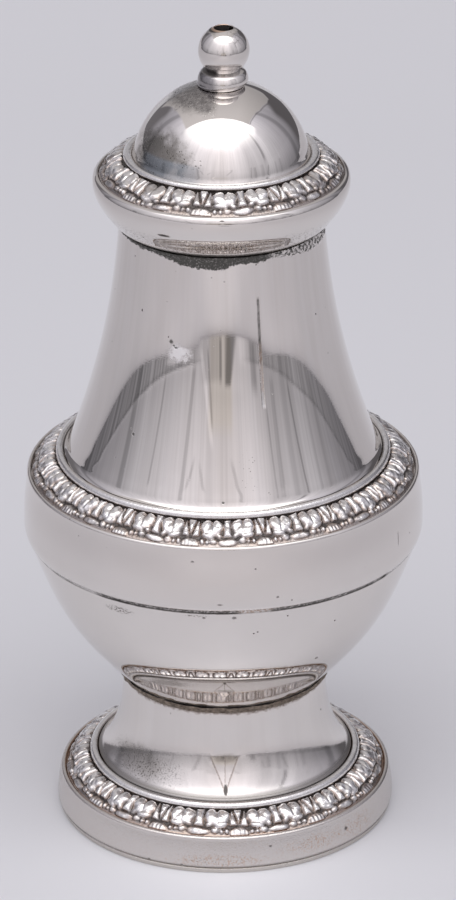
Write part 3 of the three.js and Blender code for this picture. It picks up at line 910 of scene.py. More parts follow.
m_girdle = plate("plate_girdle", rough=0.03, wave=0.9, marks=girdle_marks)
done(
    turned("girdle_wall", join(
        run([[22.8, 36.42], [23.42, 36.42]], 0.3),
        run([[23.42, 36.42], [23.58, 36.52], [23.76, 36.84], [23.89, 37.4], [23.922, 38.3], [23.87, 40.2], [23.69, 42.0], [23.5, 43.6], [23.46, 44.1]], 0.2),
        run([[23.46, 44.1], [23.45, 44.3], [23.36, 44.48], [23.22, 44.57], [23.07, 44.54], [22.97, 44.42], [22.93, 44.24], [22.9, 43.98]], 0.05),
        run([[22.9, 43.98], [22.7, 43.98]], 0.1), run([[22.7, 43.98], [18.5, 47.0]], 0.5), run([[18.5, 47.0], [18.45, 46.1]], 0.3),
        run([[18.45, 46.1], [22.2, 43.4], [22.85, 42.3], [23.1, 40.0], [23.1, 37.4], [22.8, 36.42]], 0.5)), warp=dents(13, 0.005)),
    "pot", ["girdle"], "polished_plate", m_girdle)

done(
    ornament_band(
        "shoulder_strip",
        strip=[[22.86, 44.5], [22.58, 44.94], [22.18, 45.38], [21.6, 45.93], [20.95, 46.36], [20.38, 46.65], [20.12, 46.78]],
        lip=[[22.84, 44.16], [22.87, 44.34]],
        bead=[[20.0, 46.72], [19.96, 46.98], [19.83, 47.2], [19.62, 47.32], [19.36, 47.28], [19.16, 47.12], [19.07, 46.95], [19.1, 46.74]],
        under=[[19.8, 46.2], [21.0, 45.36], [22.4, 44.4]],
        periods=16, phase_deg=-10.0, cells=104, depth=0.36, lift=0.10, seed=17, rub=0.14),
    "pot", ["shoulder_ornament_band"], "oxidised_relief", m_relief_shoulder)


# how far down in mm the crust under the cap reaches, by the angle
CRUST = [(-180, 0.35), (-110, 0.30), (-90, 0.30), (-60, 0.45), (-50, 0.50), (-38, 0.60), (-31, 0.80), (-25, 1.25), (-18, 1.60),
         (-5, 1.75), (2, 1.65), (5, 1.10), (10, 0.90), (16, 1.00), (23, 1.00), (28, 0.60), (35, 0.85), (42, 1.10), (50, 1.35),
         (60, 1.60), (75, 1.50), (90, 1.10), (110, 0.50), (180, 0.35)]
CRUST_TOP = 76.1


def neck_marks(g, c):
    fine = g.noise(c.mm, 3.6, 4.0, 0.7)
    coarse = g.noise(c.mm, 0.85, 3.0, 0.6)
    deep = g.ramp(g.lin(c.deg, -180.0, 180.0), [((a + 180.0) / 360.0, v / 2.0) for a, v in CRUST])
    edge = g.sub(CRUST_TOP, g.mul(deep, 1.62))
    ragged = g.add_(g.mul(g.sub(g.noise(c.mm, 1.9, 3.0, 0.6), 0.5), 0.9), g.mul(g.sub(fine, 0.5), 0.5))
    crust = g.step(g.sub(g.add_(c.z, ragged), edge), -0.05, 0.12)
    grain = g.noise(c.mm, 5.0, 3.0, 0.7)
    # on the right it has flaked: dark grains with metal between them
    flaked = g.mul(g.step(c.deg, 24.0, 32.0), g.step(c.deg, 110.0, 90.0))
    flakes = g.mixf(flaked, 1.0, g.step(g.noise(c.mm, 2.6, 3.0, 0.7), 0.46, 0.56))
    crusted = g.mul(crust, g.mul(g.lin(grain, 0.54, 0.70, 1.0, 0.55), flakes))
    scratch = c.line((19.2, 71.0), (18.6, 58.3), 0.16, 13.3, 0.4, g.mul(g.sub(coarse, 0.5), 0.14))
    upper = g.step(c.z, 63.2, 65.6)
    ends = g.most(g.step(c.z, 59.6, 58.8), g.mul(g.step(c.z, 64.0, 63.0), 0.45))
    warp = g.mul(g.sub(g.noise(c.mm, 3.2, 3.0), 0.5), 1.1)
    spots = g.most(
        c.spot(-26.3, 65.7, 0.95, 0.25, 0.4, warp),
        c.spot(-24.7, 65.25, 0.55, 0.13, 0.4, warp),
        c.spot(-23.5, 65.05, 0.8, 0.11, 0.4, warp),
        c.spot(-28.0, 66.15, 0.3, 0.09, 0.4, warp),
        c.spot(0.0, 47.95, 0.5, 0.12, 0.4, warp),
        c.spot(-40.2, 54.11, 0.6, 0.20, 0.4, warp),
        c.spot(-46.0, 68.42, 0.5, 0.14, 0.4, warp),
    )
    area = g.most(c.spot(10.3, 51.2, 3.6, 1.9, 0.5), c.spot(17.6, 48.5, 1.2, 0.7, 0.5))
    holes = g.mul(area, g.mul(g.step(g.cells(c.mm, 2.2), 0.19, 0.11), 0.8))
    dark = g.most(crusted, g.mul(g.mul(scratch, upper), g.lin(coarse, 0.35, 0.6, 0.95, 0.55)), g.mul(spots, 0.9), g.mul(holes, 0.8))
    smear = c.spot(-21.8, 64.5, 5.3, 0.82, 0.5, g.mul(g.sub(g.noise(c.mm, 2.0, 3.0, 0.65), 0.5), 2.1))
    warm = g.mul(g.mul(scratch, g.step(c.z, 66.5, 64.5)), g.step(c.z, 59.6, 60.6))
    film = (g.mul(smear, 0.9), (0.98, 0.965, 0.96), 0.50)
    return (dark, g.add_(g.mul(crust, g.mul(grain, 3.0)), g.mul(g.most(scratch, spots), -1.0)), g.mul(scratch, ends),
            g.mul(warm, g.lin(fine, 0.35, 0.6, 0.9, 0.3)), film)


m_neck = plate("plate_neck", rough=0.02, wave=0.5, marks=neck_marks, oxide_and_shade=(0.034, 0.036, 0.031), streaks=0.13)


def neck_warp(t, r, z):
    w = smooth_noise(t, z, 15, 8, 0.08) * 0.004
    deg = (np.degrees(t) + 180) % 360 - 180
    edge = CRUST_TOP - 0.81 * np.interp(deg, [a for a, _ in CRUST], [v for _, v in CRUST])
    lump = smooth_noise(t, z, 16, 150, 2.2) * 0.5 + smooth_noise(t, z, 19, 320, 4.5) * 0.35 + 0.55
    crust = sstep(z + 0.15 * smooth_noise(t, z, 18, 110, 1.2), edge - 0.05, edge + 0.35) * (r > 11.6)
    return w + crust * lump * 0.12, np.zeros_like(w)


done(
    turned("neck_flare", join(
        run([[18.2, 47.4], [18.95, 47.12]], 0.3),
        run([[18.95, 47.12], [18.72, 47.3], [18.5, 47.6], [18.33, 48.0], [17.949, 49.0], [17.585, 50.0], [17.233, 51.0], [16.563, 53.0], [15.936, 55.0],
             [15.354, 57.0], [14.817, 59.0], [14.328, 61.0], [13.887, 63.0], [13.494, 65.0], [13.148, 67.0], [12.848, 69.0], [12.590, 71.0],
             [12.366, 73.0], [12.171, 75.0], [12.091, 75.9]], 0.2),
        run([[12.091, 75.9], [12.0, 76.1]], 0.1), run([[12.0, 76.1], [11.2, 76.1]], 0.3),
        run([[11.2, 76.1], [11.54, 72.0], [12.22, 67.0], [13.16, 62.0], [14.42, 57.0], [15.62, 53.0], [16.9, 49.2], [18.2, 47.4]], 0.7)), warp=neck_warp),
    "pot", ["neck"], "polished_plate", m_neck)


# ------------------------------------------------------------------ screw threads
def thread_radius(t, z, mean, span, side):
    """The rolled thread of the CAD solid: r at an angle about Z from +X and a height."""
    low, high = span[0] - THREAD_FADE, span[1] + THREAD_FADE
    full = np.minimum(1, np.minimum(np.clip((z - low) / THREAD_FADE, 0, None), np.clip((high - z) / THREAD_FADE, 0, None)))
    wave = np.cos(2 * np.pi * (z / THREAD_PITCH - t / (2 * np.pi)))
    return mean + side * THREAD_WAVE * (1 - full) + full * THREAD_WAVE * wave


def threaded(name, plain, mean, span, side, seg=SEG_SMALL):
    """plain: the profile with the thread's rows at radius mean; those rows get the thread."""
    def warp(t, r, z):
        x_angle = t - np.pi / 2  # theta 0 is -Y
        on = (np.abs(r - mean) < 1e-6) & (z > span[0] - THREAD_FADE - 1e-6) & (z < span[1] + THREAD_FADE + 1e-6)
        return np.where(on, thread_radius(x_angle, z, mean, span, side) - r, 0.0), np.zeros_like(r)
    return turned(name, plain, seg, warp, 40)


def thread_rows(mean, span, per=0.08):
    low, high = span[0] - THREAD_FADE, span[1] + THREAD_FADE
    n = int(round((high - low) / per))
    return np.stack([np.full(n + 1, mean), np.linspace(low, high, n + 1)], 1)


m_brass = brass_material("thread_brass")
done(
    threaded("screw_collar", join(
        run([[10.65, 72.6], [11.34, 72.6]], 0.3), run([[11.34, 72.6], [11.05, 76.15]], 0.5), run([[11.05, 76.15], [10.17, 76.3]], 0.3),
        thread_rows(MALE_R, MALE_Z), run([[10.0, 82.0], [9.35, 82.0]], 0.2), run([[9.35, 82.0], [9.35, 77.2]], 0.6), run([[9.35, 77.2], [10.35, 75.6]], 0.4), run([[10.35, 75.6], [10.65, 72.6]], 0.6)),
        MALE_R, MALE_Z, -1),
    "pot", ["neck_screw_collar"], "thread_metal", m_brass)

done(
    threaded("cap_thread", join(
        run([[11.12, 76.5], [11.78, 76.5]], 0.3), run([[11.78, 76.5], [11.78, 82.5]], 0.6), run([[11.78, 82.5], [11.0, 83.15]], 0.3),
        run([[11.0, 83.15], [9.6, 83.15]], 0.3), run([[9.6, 83.15], [9.6, 82.55]], 0.3), run([[9.6, 82.55], [11.0, 82.55]], 0.3),
        thread_rows(FEMALE_R, FEMALE_Z)[::-1]),
        FEMALE_R, FEMALE_Z, 1),
    "cap", ["cap_thread_ring"], "thread_metal", m_brass)

m_fibre = fibre_material("fibre_ring")
done(
    turned("seal_washer", join(
        run([[9.5, 82.11], [9.54, 82.07]], 0.05), run([[9.54, 82.07], [10.16, 82.07]], 0.12), run([[10.16, 82.07], [10.2, 82.11]], 0.05),
        run([[10.2, 82.11], [10.2, 82.41]], 0.08), run([[10.2, 82.41], [10.16, 82.45]], 0.05), run([[10.16, 82.45], [9.54, 82.45]], 0.12),
        run([[9.54, 82.45], [9.5, 82.41]], 0.05), run([[9.5, 82.41], [9.5, 82.11]], 0.08)), SEG_SMALL),
    "washer", ["cap_washer"], "fibre_washer", m_fibre)


# ------------------------------------------------------------------ pieces of the cap
def mould_marks(g, c):
    warp = g.mul(g.sub(g.noise(c.mm, 3.4, 3.0), 0.5), 0.7)
    notch = c.spot(-27.2, 79.35, 2.9, 0.16, 0.4, warp)
    chip = c.spot(0.2, 81.85, 0.9, 0.10, 0.4, warp)
    dash = c.spot(1.4, 81.34, 2.6, 0.035, 0.6, warp)
    fine = g.noise(c.mm, 4.4, 3.0, 0.7)
    under = g.mul(g.step(c.z, 79.4, 78.2), g.mul(g.step(fine, 0.5, 0.68), 0.75))
    low = g.mul(g.step(c.z, 77.0, 76.6), 0.8)
    dark = g.most(notch, g.mul(chip, 0.8), g.mul(dash, 0.55), under, low)
    return dark, g.mul(g.most(notch, chip), -0.8), None


m_mould = plate("plate_moulding", rough=0.035, wave=0.6, marks=mould_marks, pits=0.4)
done(
    turned("cap_moulding", join(
        run([[11.92, 76.35], [12.2, 76.35]], 0.1),
        run([[12.2, 76.35], [12.65, 76.62], [13.4, 77.5], [14.14, 78.5], [14.7, 79.5], [15.02, 80.45], [15.1, 81.2], [15.03, 81.72],
             [14.86, 82.04], [14.62, 82.2], [14.44, 82.2], [14.36, 82.08]], 0.1),
        run([[14.36, 82.08], [14.36, 81.78]], 0.1),
        run([[14.36, 81.78], [14.2, 81.75]], 0.1), run([[14.2, 81.75], [10.75, 84.2]], 0.5), run([[10.75, 84.2], [10.75, 83.5]], 0.3),
        run([[10.75, 83.5], [13.6, 81.45]], 0.5), run([[13.6, 81.45], [14.25, 80.7], [13.95, 79.7], [13.35, 78.8], [12.6, 77.85], [11.92, 77.1]], 0.4),
        run([[11.92, 77.1], [11.92, 76.35]], 0.3)), 300, warp=dents(25, 0.004)),
    "cap", ["cap_rim_moulding"], "polished_plate", m_mould)

done(
    ornament_band(
        "cap_strip",
        strip=[[14.28, 82.22], [14.05, 82.6], [13.62, 83.12], [13.02, 83.6], [12.4, 83.96], [11.85, 84.22], [11.56, 84.36]],
        lip=[[14.27, 81.95], [14.30, 82.08]],
        bead=[[11.5, 84.34], [11.46, 84.54], [11.3, 84.72], [11.08, 84.79], [10.8, 84.77], [10.56, 84.64], [10.47, 84.5], [10.58, 84.44]],
        under=[[11.4, 83.88], [12.6, 83.06], [14.0, 82.1]],
        periods=9, phase_deg=-9.5, cells=120, depth=0.34, lift=0.10, seed=23, rub=0.2),
    "cap", ["cap_ornament_band"], "oxidised_relief", m_relief_cap)


def dome_marks(g, c):
    fine = g.noise(c.mm, 4.2, 3.0, 0.7)
    cloud = g.mul(g.sub(g.noise(c.mm, 0.8, 3.0), 0.5), 1.1)
    dots = g.step(g.cells(c.mm, 2.3), 0.30, 0.16)
    # tarnish low on the left: a dark film, olive above and blue below, a row of dots at its top, and grey specks high up
    film = c.spot(-50.0, 86.4, 26.0, 2.5, 0.35, cloud)
    edge = g.add_(g.lin(c.deg, -52.5, -13.0, 88.3, 86.4, clamp=False), cloud)
    row = g.mul(g.step(g.math("ABSOLUTE", g.sub(c.z, edge)), 0.75, 0.30), g.mul(g.step(c.deg, -60.0, -50.0), g.step(c.deg, -8.0, -18.0)))
    olive = c.spot(-54.0, 87.6, 8.0, 0.7, 0.5, cloud)
    blue = g.mul(g.step(c.z, 86.7, 86.2), g.mul(g.step(c.deg, -68.0, -58.0), g.step(c.deg, -8.0, -20.0)))
    high = g.mul(g.step(g.add_(c.z, g.mul(cloud, 0.9)), 91.0, 91.9), g.mul(g.step(c.deg, -2.0, -16.0), g.step(c.deg, -150.0, -120.0)))
    shade = g.mix(blue, (0.175, 0.160, 0.138), (0.225, 0.262, 0.295))
    shade = g.mix(g.mul(olive, 0.8), shade, (0.085, 0.08, 0.06))
    shade = g.mix(high, shade, (0.255, 0.24, 0.235))
    specks = g.most(g.mul(row, dots), g.mul(high, g.step(fine, 0.54, 0.64)), g.mul(film, g.step(fine, 0.56, 0.68)))
    low = g.mul(g.step(c.z, 84.3, 83.9), 0.6)
    mask = g.most(g.mul(film, 0.80), g.mul(blue, 0.45), g.mul(high, g.lin(g.noise(c.mm, 1.7, 3.0), 0.35, 0.6, 0.65, 0.95)))
    return g.most(g.mul(specks, 0.65), low), g.mul(specks, -0.5), None, None, (mask, shade, 0.10)


m_dome = plate("plate_dome", rough=0.03, wave=0.7, marks=dome_marks, pits=0.6)
DOME_R, DOME_Z = 10.49, 82.74
top_deg = math.degrees(math.acos(1.8 / DOME_R))
inner_deg = math.degrees(math.acos(1.8 / (DOME_R - 0.8)))
low_deg = math.degrees(math.asin((85.1 - DOME_Z) / DOME_R))
low_in = math.degrees(math.asin((83.3 - DOME_Z) / (DOME_R - 0.8)))
done(
    turned("cap_dome_shell", join(
        run([[10.475, 83.3], [10.42, 84.1]], 0.2), run([[10.42, 84.1], [10.44, 84.4], [10.42, 84.6], [10.33, 84.8], [10.25, 85.0]], 0.07),
        arc(DOME_R, DOME_Z, low_deg, top_deg, 0.14), arc(DOME_R - 0.8, DOME_Z, inner_deg, low_in, 0.5)), 300, warp=dents(27, 0.004)),
    "cap", ["cap_dome"], "polished_plate", m_dome)


def finial_marks(g, c):
    fine = g.noise(c.mm, 4.8, 3.0, 0.7)
    cloud = g.mul(g.sub(g.noise(c.mm, 1.1, 3.0), 0.5), 1.2)
    # painted shade: the inside of the hole in the top of the ball is dark
    hole = g.step(c.z, 99.84, 99.74)
    hole = g.mul(g.step(g.add_(c.r, g.mul(g.math("SINE", c.theta), 0.0)), 1.42, 1.30), g.mul(hole, g.step(c.z, 92.0, 94.0)))
    crack = g.mul(g.step(g.cells(c.mm, 1.7, "DISTANCE_TO_EDGE"), 0.05, 0.015), c.spot(50.0, 99.2, 42.0, 0.65, 0.5))
    left = g.step(c.deg, -3.0, -24.0)
    # painted shade in the groove between the bun and the ball, faint on the right and dark on the left with the tarnish
    groove = g.mul(g.step(c.z, 95.7, 95.35), g.step(c.z, 94.55, 94.8))
    shadow = g.mul(g.step(c.z, 93.4, 93.05), 0.6)
    # grey tarnish on the left of the bun and of the groove, and round the top of the ball
    bun = g.mul(g.step(c.z, 95.6, 95.2), g.mul(left, g.step(g.add_(c.deg, g.mul(cloud, 20.0)), -170.0, -120.0)))
    crown = g.mul(g.step(g.add_(c.z, cloud), 99.2, 99.7), g.step(g.math("ABSOLUTE", g.add_(c.deg, 75.0)), 75.0, 35.0))
    scar = g.most(c.spot(5.5, 98.1, 0.7, 0.42, 0.5), c.spot(7.0, 97.85, 3.0, 0.05, 0.5))
    dark = g.most(hole, g.mul(crack, 0.55), g.mul(groove, g.lin(left, 0.0, 1.0, 0.10, 0.78)), g.mul(shadow, 0.1), g.mul(scar, 0.6))
    lip = g.mul(g.step(c.z, 99.72, 99.80), g.step(c.r, 1.40, 1.30))
    mask = g.most(g.mul(bun, g.lin(fine, 0.30, 0.60, 0.95, 0.75)), g.mul(crown, 0.7))
    return dark, None, None, g.mul(lip, 0.7), (mask, (0.255, 0.245, 0.255), 0.16)


m_finial = plate("plate_finial", rough=0.04, wave=0.4, marks=finial_marks, pits=0.5)
BALL_R, BALL_Z, HOLE_R = 2.99, 97.17, 1.12
ball = arc(BALL_R, BALL_Z, -math.degrees(math.acos(2.02 / BALL_R)), math.degrees(math.acos((HOLE_R + 0.12) / BALL_R)), 0.07)
lip_z = ball[-1][1]


def finial_lean(ob):
    """The bun and the ball were soldered a little off the axis, towards +X."""
    co = np.zeros(len(ob.data.vertices) * 3, np.float32)
    ob.data.vertices.foreach_get("co", co)
    co = co.reshape(-1, 3)
    z = co[:, 2] / MM
    co[:, 0] += (0.24 * sstep(z, 93.0, 93.6) + 0.13 * np.clip((z - 93.4) / 4.0, 0, 1)) * MM
    ob.data.vertices.foreach_set("co", co.ravel())
    ob.data.update()
    return ob


done(
    finial_lean(turned("finial_knob", join(
        run([[HOLE_R, 91.8], [1.7, 91.8]], 0.2), run([[1.7, 91.8], [1.7, 93.15]], 0.4), run([[1.7, 93.15], [2.66, 92.95]], 0.2),
        run([[2.66, 92.95], [2.73, 92.97], [2.80, 93.06], [2.91, 93.34], [2.95, 93.72], [2.84, 94.2], [2.6, 94.6], [2.3, 94.8], [2.02, 94.97]], 0.06),
        ball, run([[ball[-1][0], lip_z], [ball[-1][0] - 0.04, lip_z + 0.03], [HOLE_R + 0.03, lip_z], [HOLE_R, lip_z - 0.14]], 0.03),
        run([[HOLE_R, lip_z - 0.14], [HOLE_R, 91.8]], 0.2)), SEG_SMALL, warp=None, sharp=38)),
    "cap", ["finial"], "polished_plate", m_finial)


# ------------------------------------------------------------------ floor
# where the fabric meets the floor; the flaps of the opening hang a little nearer
TENT = [(-0.72, 0.45), (-0.74, 0.0), (-0.86, -0.97), (-0.37, -0.98), (-0.32, -0.80), (0.60, -0.80), (0.65, -0.96),
        (0.86, -0.95), (0.73, 0.0), (0.72, 0.45)]


def make_floor():
    xs = np.linspace(-1.3, 1.3, 27)
    ys = np.linspace(-1.0, 1.6, 27)
    v = [[x, y, 0.0] for y in ys for x in xs]
    f = [[j * 27 + i, j * 27 + i + 1, (j + 1) * 27 + i + 1, (j + 1) * 27 + i] for j in range(26) for i in range(26)]
    ob = mesh_object("floor", v, f)
    m, g, bsdf = new_material("pale_paper")
    c = Coords(g)
    n = g.noise(c.mm, 0.004, 2.0)
    # painted light: the paper is paler in front, where the lamp lights it most, a shade darker near the foot, and
    # darker towards the sides and the back
    aside = g.step(g.math("ABSOLUTE", c.x), 30.0, 200.0)
    level = g.mul(g.mul(g.step(c.y, -80.0, -420.0, 1.0, 1.11), g.lin(c.y, -80.0, -35.0, 1.0, 0.977)), g.lin(c.y, -60.0, 220.0, FLOOR_PALE, 0.92 * FLOOR_PALE))
    level = g.mul(level, g.lin(aside, 0.0, 1.0, 1.0, 0.86))
    level = g.mul(level, g.lin(n, 0.3, 0.7, 1.015, 0.985))
    tint = g.mix(g.lin(c.y, -150.0, -24.0), (1.0, 0.980, 1.000), (1.0, 1.006, 1.048))
    tint = g.mix(g.mul(aside, 0.7), tint, (1.0, 0.988, 1.03))
    g.put(bsdf.inputs["Base Color"], g.mix(1.0, g.combine(level, level, level), tint, "MULTIPLY"))
    # light that the foot throws back on the paper round it
    near = g.math("EXPONENT", g.mul(g.math("MAXIMUM", g.sub(c.r, 20.5), 0.0), -1 / 15.0))
    front = g.ramp(g.lin(c.deg, -180.0, 180.0), [(0.0, 0.2), (0.30, 0.15), (0.40, 0.5), (0.5, 1.0), (0.60, 0.45), (0.70, 0.05), (1.0, 0.2)])
    g.put(bsdf.inputs["Emission Color"], (1.0, 0.97, 0.985))
    g.put(bsdf.inputs["Emission Strength"], g.mul(g.mul(near, front), 0.19))
    bsdf.inputs["Roughness"].default_value = 1.0
    bsdf.inputs["Specular IOR Level"].default_value = 0.0
    ob.data.materials.append(m)
    return ob


FLOOR_PALE = 0.735
make_floor()


# ------------------------------------------------------------------ light: a white fabric tent, lit from above in front
def tent_colour(g, x, y, z):
    """The fabric's colour in a direction. a is the angle round the pot, 0 in front and growing to the right, e the height."""
    a = g.mul(g.math("ARCTAN2", x, g.mul(y, -1.0)), 57.29578)
    e = g.mul(g.math("ARCSINE", z), 57.29578)
    aa = g.math("ABSOLUTE", a)
    top = g.sub(90.0, e)
    # X to the right and Y to the front of the zenith, in degrees
    X = g.mul(top, g.math("SINE", g.mul(a, 0.0174533)))
    Y = g.mul(top, g.math("COSINE", g.mul(a, 0.0174533)))

    def band(v, lo, hi, soft):
        return g.mul(g.step(v, lo - soft, lo + soft), g.step(v, hi + soft, hi - soft))

    def oval(a0, e0, wa, we):
        d = g.add_(g.math("POWER", g.mul(g.sub(a, a0), 1 / wa), 2.0), g.math("POWER", g.mul(g.sub(e, e0), 1 / we), 2.0))
        return g.step(d, 1.5, 0.5)

    around = [(-120, 0.27), (-105, 0.35), (-90, 0.43), (-80, 0.42), (-70, 0.55), (-60, 0.58), (-50, 0.60), (-35, 0.68), (-20, 0.70),
              (0, 0.72), (10, 0.78), (20, 0.77), (30, 0.66), (40, 0.52), (50, 0.51), (60, 0.48), (70, 0.54), (80, 0.43), (90, 0.39),
              (100, 0.33), (110, 0.28), (120, 0.25)]
    walls = g.ramp(g.lin(a, -130.0, 130.0), [((p + 130.0) / 260.0, v) for p, v in around])
    up = [(0, 0.78), (4, 0.90), (8, 1.03), (12, 1.15), (16, 1.24), (25, 1.36), (35, 1.56), (45, 1.85), (55, 2.2)]
    walls = g.mul(walls, g.mul(g.ramp(g.lin(e, -5.0, 60.0), [((p + 5.0) / 65.0, v / 2.5) for p, v in up]), 2.5))
    fold = g.noise(g.combine(g.mul(a, 0.17), g.mul(e, 0.012), 0.0), 1.0, 2.0, 0.55)
    crease = g.noise(g.combine(g.mul(a, 0.6), g.mul(e, 0.025), 9.0), 1.0, 2.0, 0.6)
    walls = g.mul(walls, g.add_(1.0, g.add_(g.mul(g.sub(fold, 0.5), 0.35), g.mul(g.sub(crease, 0.5), 0.28))))

    def streak(e0, a0, e1, a1, w, k, ends=1.0, w1=None):
        """A fold from (a0, e0) up to (a1, e1), w degrees to each side, k times as bright as the fabric beside it."""
        nonlocal walls
        off = g.math("ABSOLUTE", g.sub(a, g.lin(e, e0, e1, a0, a1, clamp=False)))
        if w1 is not None:
            off = g.math("DIVIDE", off, g.lin(e, e0, e1, w, w1))
            w = 1.0
        m = g.mul(g.step(off, w * 1.5, w * 0.5), band(e, e0, e1, ends))
        walls = g.mul(walls, g.sub(1.0, g.mul(m, 1.0 - k)))

    streak(-1, -53, 10, -57, 0.8, 0.74)
    streak(-5, -80, 9, -80, 2.2, 0.72)
    streak(-1, -26, 16, -32, 1.5, 0.72)
    streak(-4.8, -10, 1.4, -10, 8.5, 0.82, 0.6)
    streak(-3, -20, 9, -9, 1.3, 1.25)
    streak(-3, -14, 7, -9, 0.8, 0.72)
    streak(10.5, -23, 14, -28, 1.0, 0.76)
    streak(11, -18, 14, -14, 1.0, 0.80)
    streak(11, 7, 16, 14, 1.2, 0.78)
    streak(-4.5, 28.5, 2, 28.5, 2.4, 0.66, 1.5)
    streak(4, 38, 15, 40, 0.7, 0.76)
    streak(0, 44.5, 14, 44.5, 1.8, 0.80)
    streak(-4, 55, 14, 55, 2.0, 0.86)
    streak(-1, 60, 12, 64, 0.7, 0.66)
    streak(-4, 75, 12, 75, 1.0, 0.88)
    streak(-4, 83.5, 12, 83.5, 1.8, 0.86)
    streak(18, 62, 62, 62, 1.7, 0.58, 6.0)
    streak(-4.5, 18.5, -1.2, 18.5, 3.0, 1.15)
    # the hem along the floor: darker at the sides, gathered, with a light line along its top
    hem = g.step(e, -1.1, -1.6)
    side = g.step(aa, 14.0, 32.0)
    side = g.mul(side, g.lin(g.step(a, -5.0, 5.0), 0.0, 1.0, 1.0, 0.72))
    gather = g.noise(g.combine(g.mul(a, 0.45), g.mul(e, 0.03), 21.0), 1.0, 3.0, 0.6)
    walls = g.mul(walls, g.sub(1.0, g.mul(g.mul(hem, side), g.lin(gather, 0.38, 0.62, 0.50, 0.16))))
    walls = g.mul(walls, g.add_(1.0, g.mul(g.mul(band(e, -1.3, -1.05, 0.15), band(a, -110.0, -25.0, 4.0)), 0.22)))
    walls = g.mul(walls, g.sub(1.0, g.mul(g.mul(band(e, -1.75, -1.5, 0.15), side), 0.35)))
    walls = g.mul(walls, g.add_(1.0, g.mul(oval(-42.0, -3.0, 12.0, 0.8), 0.75)))
    walls = g.mul(walls, g.sub(1.0, g.mul(oval(-50.0, -4.2, 3.0, 0.8), 0.55)))
    # the opening in front: warm fabric between the flaps, a dark gap low on the right
    streak(-4.5, -2, 1.5, -2, 1.1, 0.56)
    streak(-4.9, 8, 2, 4.5, 5.0, 0.36, 0.5, 2.5)
    walls = g.mul(walls, g.sub(1.0, g.mul(g.mul(band(e, 2.6, 16.0, 1.0), band(a, -16.0, 18.0, 5.0)), 0.07)))
    walls = g.mul(walls, g.sub(1.0, g.mul(band(aa, 114.0, 121.0, 2.5), 0.30)))
    tint = g.ramp(g.mul(aa, 1 / 180.0), [(0.0, (1.0, 0.950, 0.990)), (0.14, (1.0, 0.962, 1.020)), (0.4, (1.0, 0.978, 1.055)), (0.62, (1.0, 0.975, 1.085)), (1.0, (0.98, 0.965, 1.08))])
    warm = g.mul(band(a, -12.0, 8.0, 2.0), g.step(e, 9.0, 6.0))
    tint = g.mix(g.mul(warm, 0.8), tint, (1.0, 0.925, 0.885))
    col = g.mix(1.0, g.combine(walls, walls, walls), tint, "MULTIPLY")

    # the lamp through the roof, in front of the zenith
    white = g.mul(g.step(Y, 3.8, 6.6), g.step(g.sub(g.math("ABSOLUTE", g.add_(X, 2.0)), g.mul(Y, 0.30)), 42.0, 36.0))
    white = g.mul(white, g.step(e, 36.0, 76.0))
    col = g.mix(white, col, (LAMP, LAMP, LAMP))
    slit = g.mul(band(e, 50.8, 51.6, 0.4), band(a, -25.0, 15.0, 2.0))
    slit = g.mul(slit, g.step(g.noise(g.combine(g.mul(a, 0.5), 0.0, 0.0), 1.0, 1.0), 0.42, 0.52))
    col = g.mix(g.mul(slit, 0.35), col, (0.55, 0.53, 0.53))
    # plain roof panel behind the lamp, bowed on its right
    right = g.ramp(g.lin(Y, -72.0, 0.0), [(0.0, 0.20), (0.042, 0.26), (0.139, 0.33), (0.306, 0.362), (0.639, 0.358), (0.736, 0.34), (1.0, 0.31)])
    right = g.mul(right, 100.0)
    roof = g.mul(g.step(Y, 6.0, 4.0), g.mul(g.step(X, -41.2, -38.8), g.step(Y, -72.0, -67.0)))
    inner = g.sub(X, right)
    sheet = g.mix(g.lin(Y, -60.0, 0.0), (0.42, 0.404, 0.415), (0.695, 0.665, 0.675))
    dim = g.lin(X, 18.0, 34.0, 1.0, 0.84)
    sheet = g.mix(1.0, sheet, g.combine(dim, dim, dim), "MULTIPLY")
    col = g.mix(g.mul(roof, g.step(inner, 0.6, -0.6)), col, sheet)
    col = g.mix(g.mul(g.mul(roof, band(inner, 0.4, 1.6, 0.4)), 0.6), col, (0.16, 0.15, 0.155))
    # backdrop: the paper that the pot stands on, curved up behind it, in front of the dark back of the fabric
    behind = g.mul(g.step(aa, 124.0, 136.0), g.step(e, 34.0, 24.0))
    east = g.step(a, -5.0, 5.0)
    col = g.mix(g.mul(behind, g.sub(1.0, g.mul(roof, g.step(inner, 0.6, -0.6)))), col, g.mix(east, (0.165, 0.158, 0.172), (0.110, 0.105, 0.114)))
    edge = g.sub(g.sub(aa, g.mul(east, 13.0)), g.lin(e, -2.0, 17.0, 149.0, 160.0, clamp=False))
    paper = g.mix(g.lin(e, 0.0, 18.0), (0.565, 0.56, 0.60), (0.44, 0.44, 0.475))
    col = g.mix(g.mul(g.step(edge, -1.0, 1.0), g.step(e, 18.5, 17.0)), col, paper)
    col = g.mix(g.mul(g.step(aa, 128.0, 136.0), g.step(e, -1.0, -2.0)), col, (0.55, 0.545, 0.585))
    return col


LAMP = 2.4


def make_world():
    w = bpy.data.worlds.new("tent")
    bpy.context.scene.world = w
    w.use_nodes = True
    w.node_tree.nodes.clear()
    g = Graph(w.node_tree)
    out = g.add("ShaderNodeOutputWorld")
    bg = g.add("ShaderNodeBackground")
    w.node_tree.links.new(bg.outputs[0], out.inputs[0])
    tc = g.add("ShaderNodeTexCoord")
    g.put(bg.inputs["Color"], tent_colour(g, *g.split(tc.outputs["Generated"])))
    bg.inputs["Strength"].default_value = 1.0
    return w


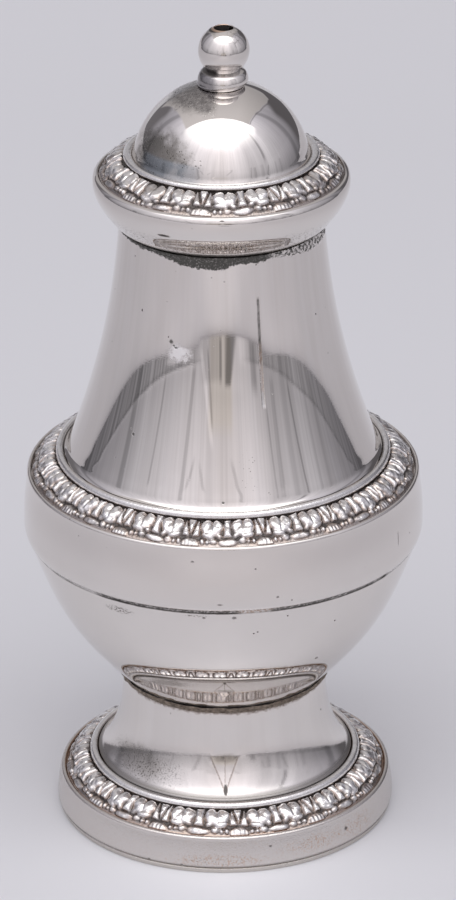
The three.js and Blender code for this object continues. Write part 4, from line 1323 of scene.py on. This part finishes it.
def make_skirt():
    """The lowest part of the fabric, close enough for its place to matter in the reflections."""
    verts, faces = [], []
    path = []
    for p, q in zip(TENT[:-1], TENT[1:]):
        n = 12
        path += [(p[0] + (q[0] - p[0]) * i / n, p[1] + (q[1] - p[1]) * i / n) for i in range(n)]
    path.append(TENT[-1])
    heights = [0.0, 0.06, 0.12, 0.18, 0.24, 0.30]
    for px, py in path:
        verts += [(px, py, h) for h in heights]
    k = len(heights)
    for i in range(len(path) - 1):
        for j in range(k - 1):
            faces.append([i * k + j, (i + 1) * k + j, (i + 1) * k + j + 1, i * k + j + 1])
    ob = mesh_object("tent_skirt", verts, faces)
    m = bpy.data.materials.new("tent_fabric")
    m.use_nodes = True
    m.node_tree.nodes.clear()
    g = Graph(m.node_tree)
    out = g.add("ShaderNodeOutputMaterial")
    em = g.add("ShaderNodeEmission")
    m.node_tree.links.new(em.outputs[0], out.inputs[0])
    tc = g.add("ShaderNodeTexCoord")
    d = g.vmath("NORMALIZE", g.vmath("SUBTRACT", tc.outputs["Object"], (0.0, 0.0, 0.065)))
    g.put(em.inputs["Color"], tent_colour(g, *g.split(d)))
    m.cycles.emission_sampling = "NONE"
    ob.data.materials.append(m)
    ob.visible_camera = False  # it only shows in the reflections, so it hides nothing from a camera outside the tent
    return ob


make_world()
make_skirt()


# ------------------------------------------------------------------ camera
def make_camera():
    cam = bpy.data.cameras.new("camera")
    cam.sensor_fit = "VERTICAL"
    cam.sensor_height = 36.0
    cam.sensor_width = 36.0
    cam.lens = LENS_PX / 900.0 * 36.0
    cam.clip_start, cam.clip_end = 0.02, 20.0
    cam.dof.use_dof = False
    ob = bpy.data.objects.new("camera", cam)
    bpy.context.scene.collection.objects.link(ob)
    ce, se = math.cos(ELEV), math.sin(ELEV)
    f = Vector((0, ce, -se))
    u = Vector((0, se, ce))
    r = Vector((1, 0, 0))
    cr, sr = math.cos(CAM_ROLL), math.sin(CAM_ROLL)
    r2, u2 = r * cr - u * sr, r * sr + u * cr
    rot = Matrix((r2, u2, -f)).transposed()
    at = (Vector(AIM) - f * CAM_D) * MM
    ob.matrix_world = Matrix.Translation(at) @ rot.to_4x4()
    bpy.context.scene.camera = ob


make_camera()
vs = bpy.context.scene.view_settings
vs.view_transform = "Standard"
vs.look = "None"
vs.exposure = 0.0
vs.gamma = 1.0
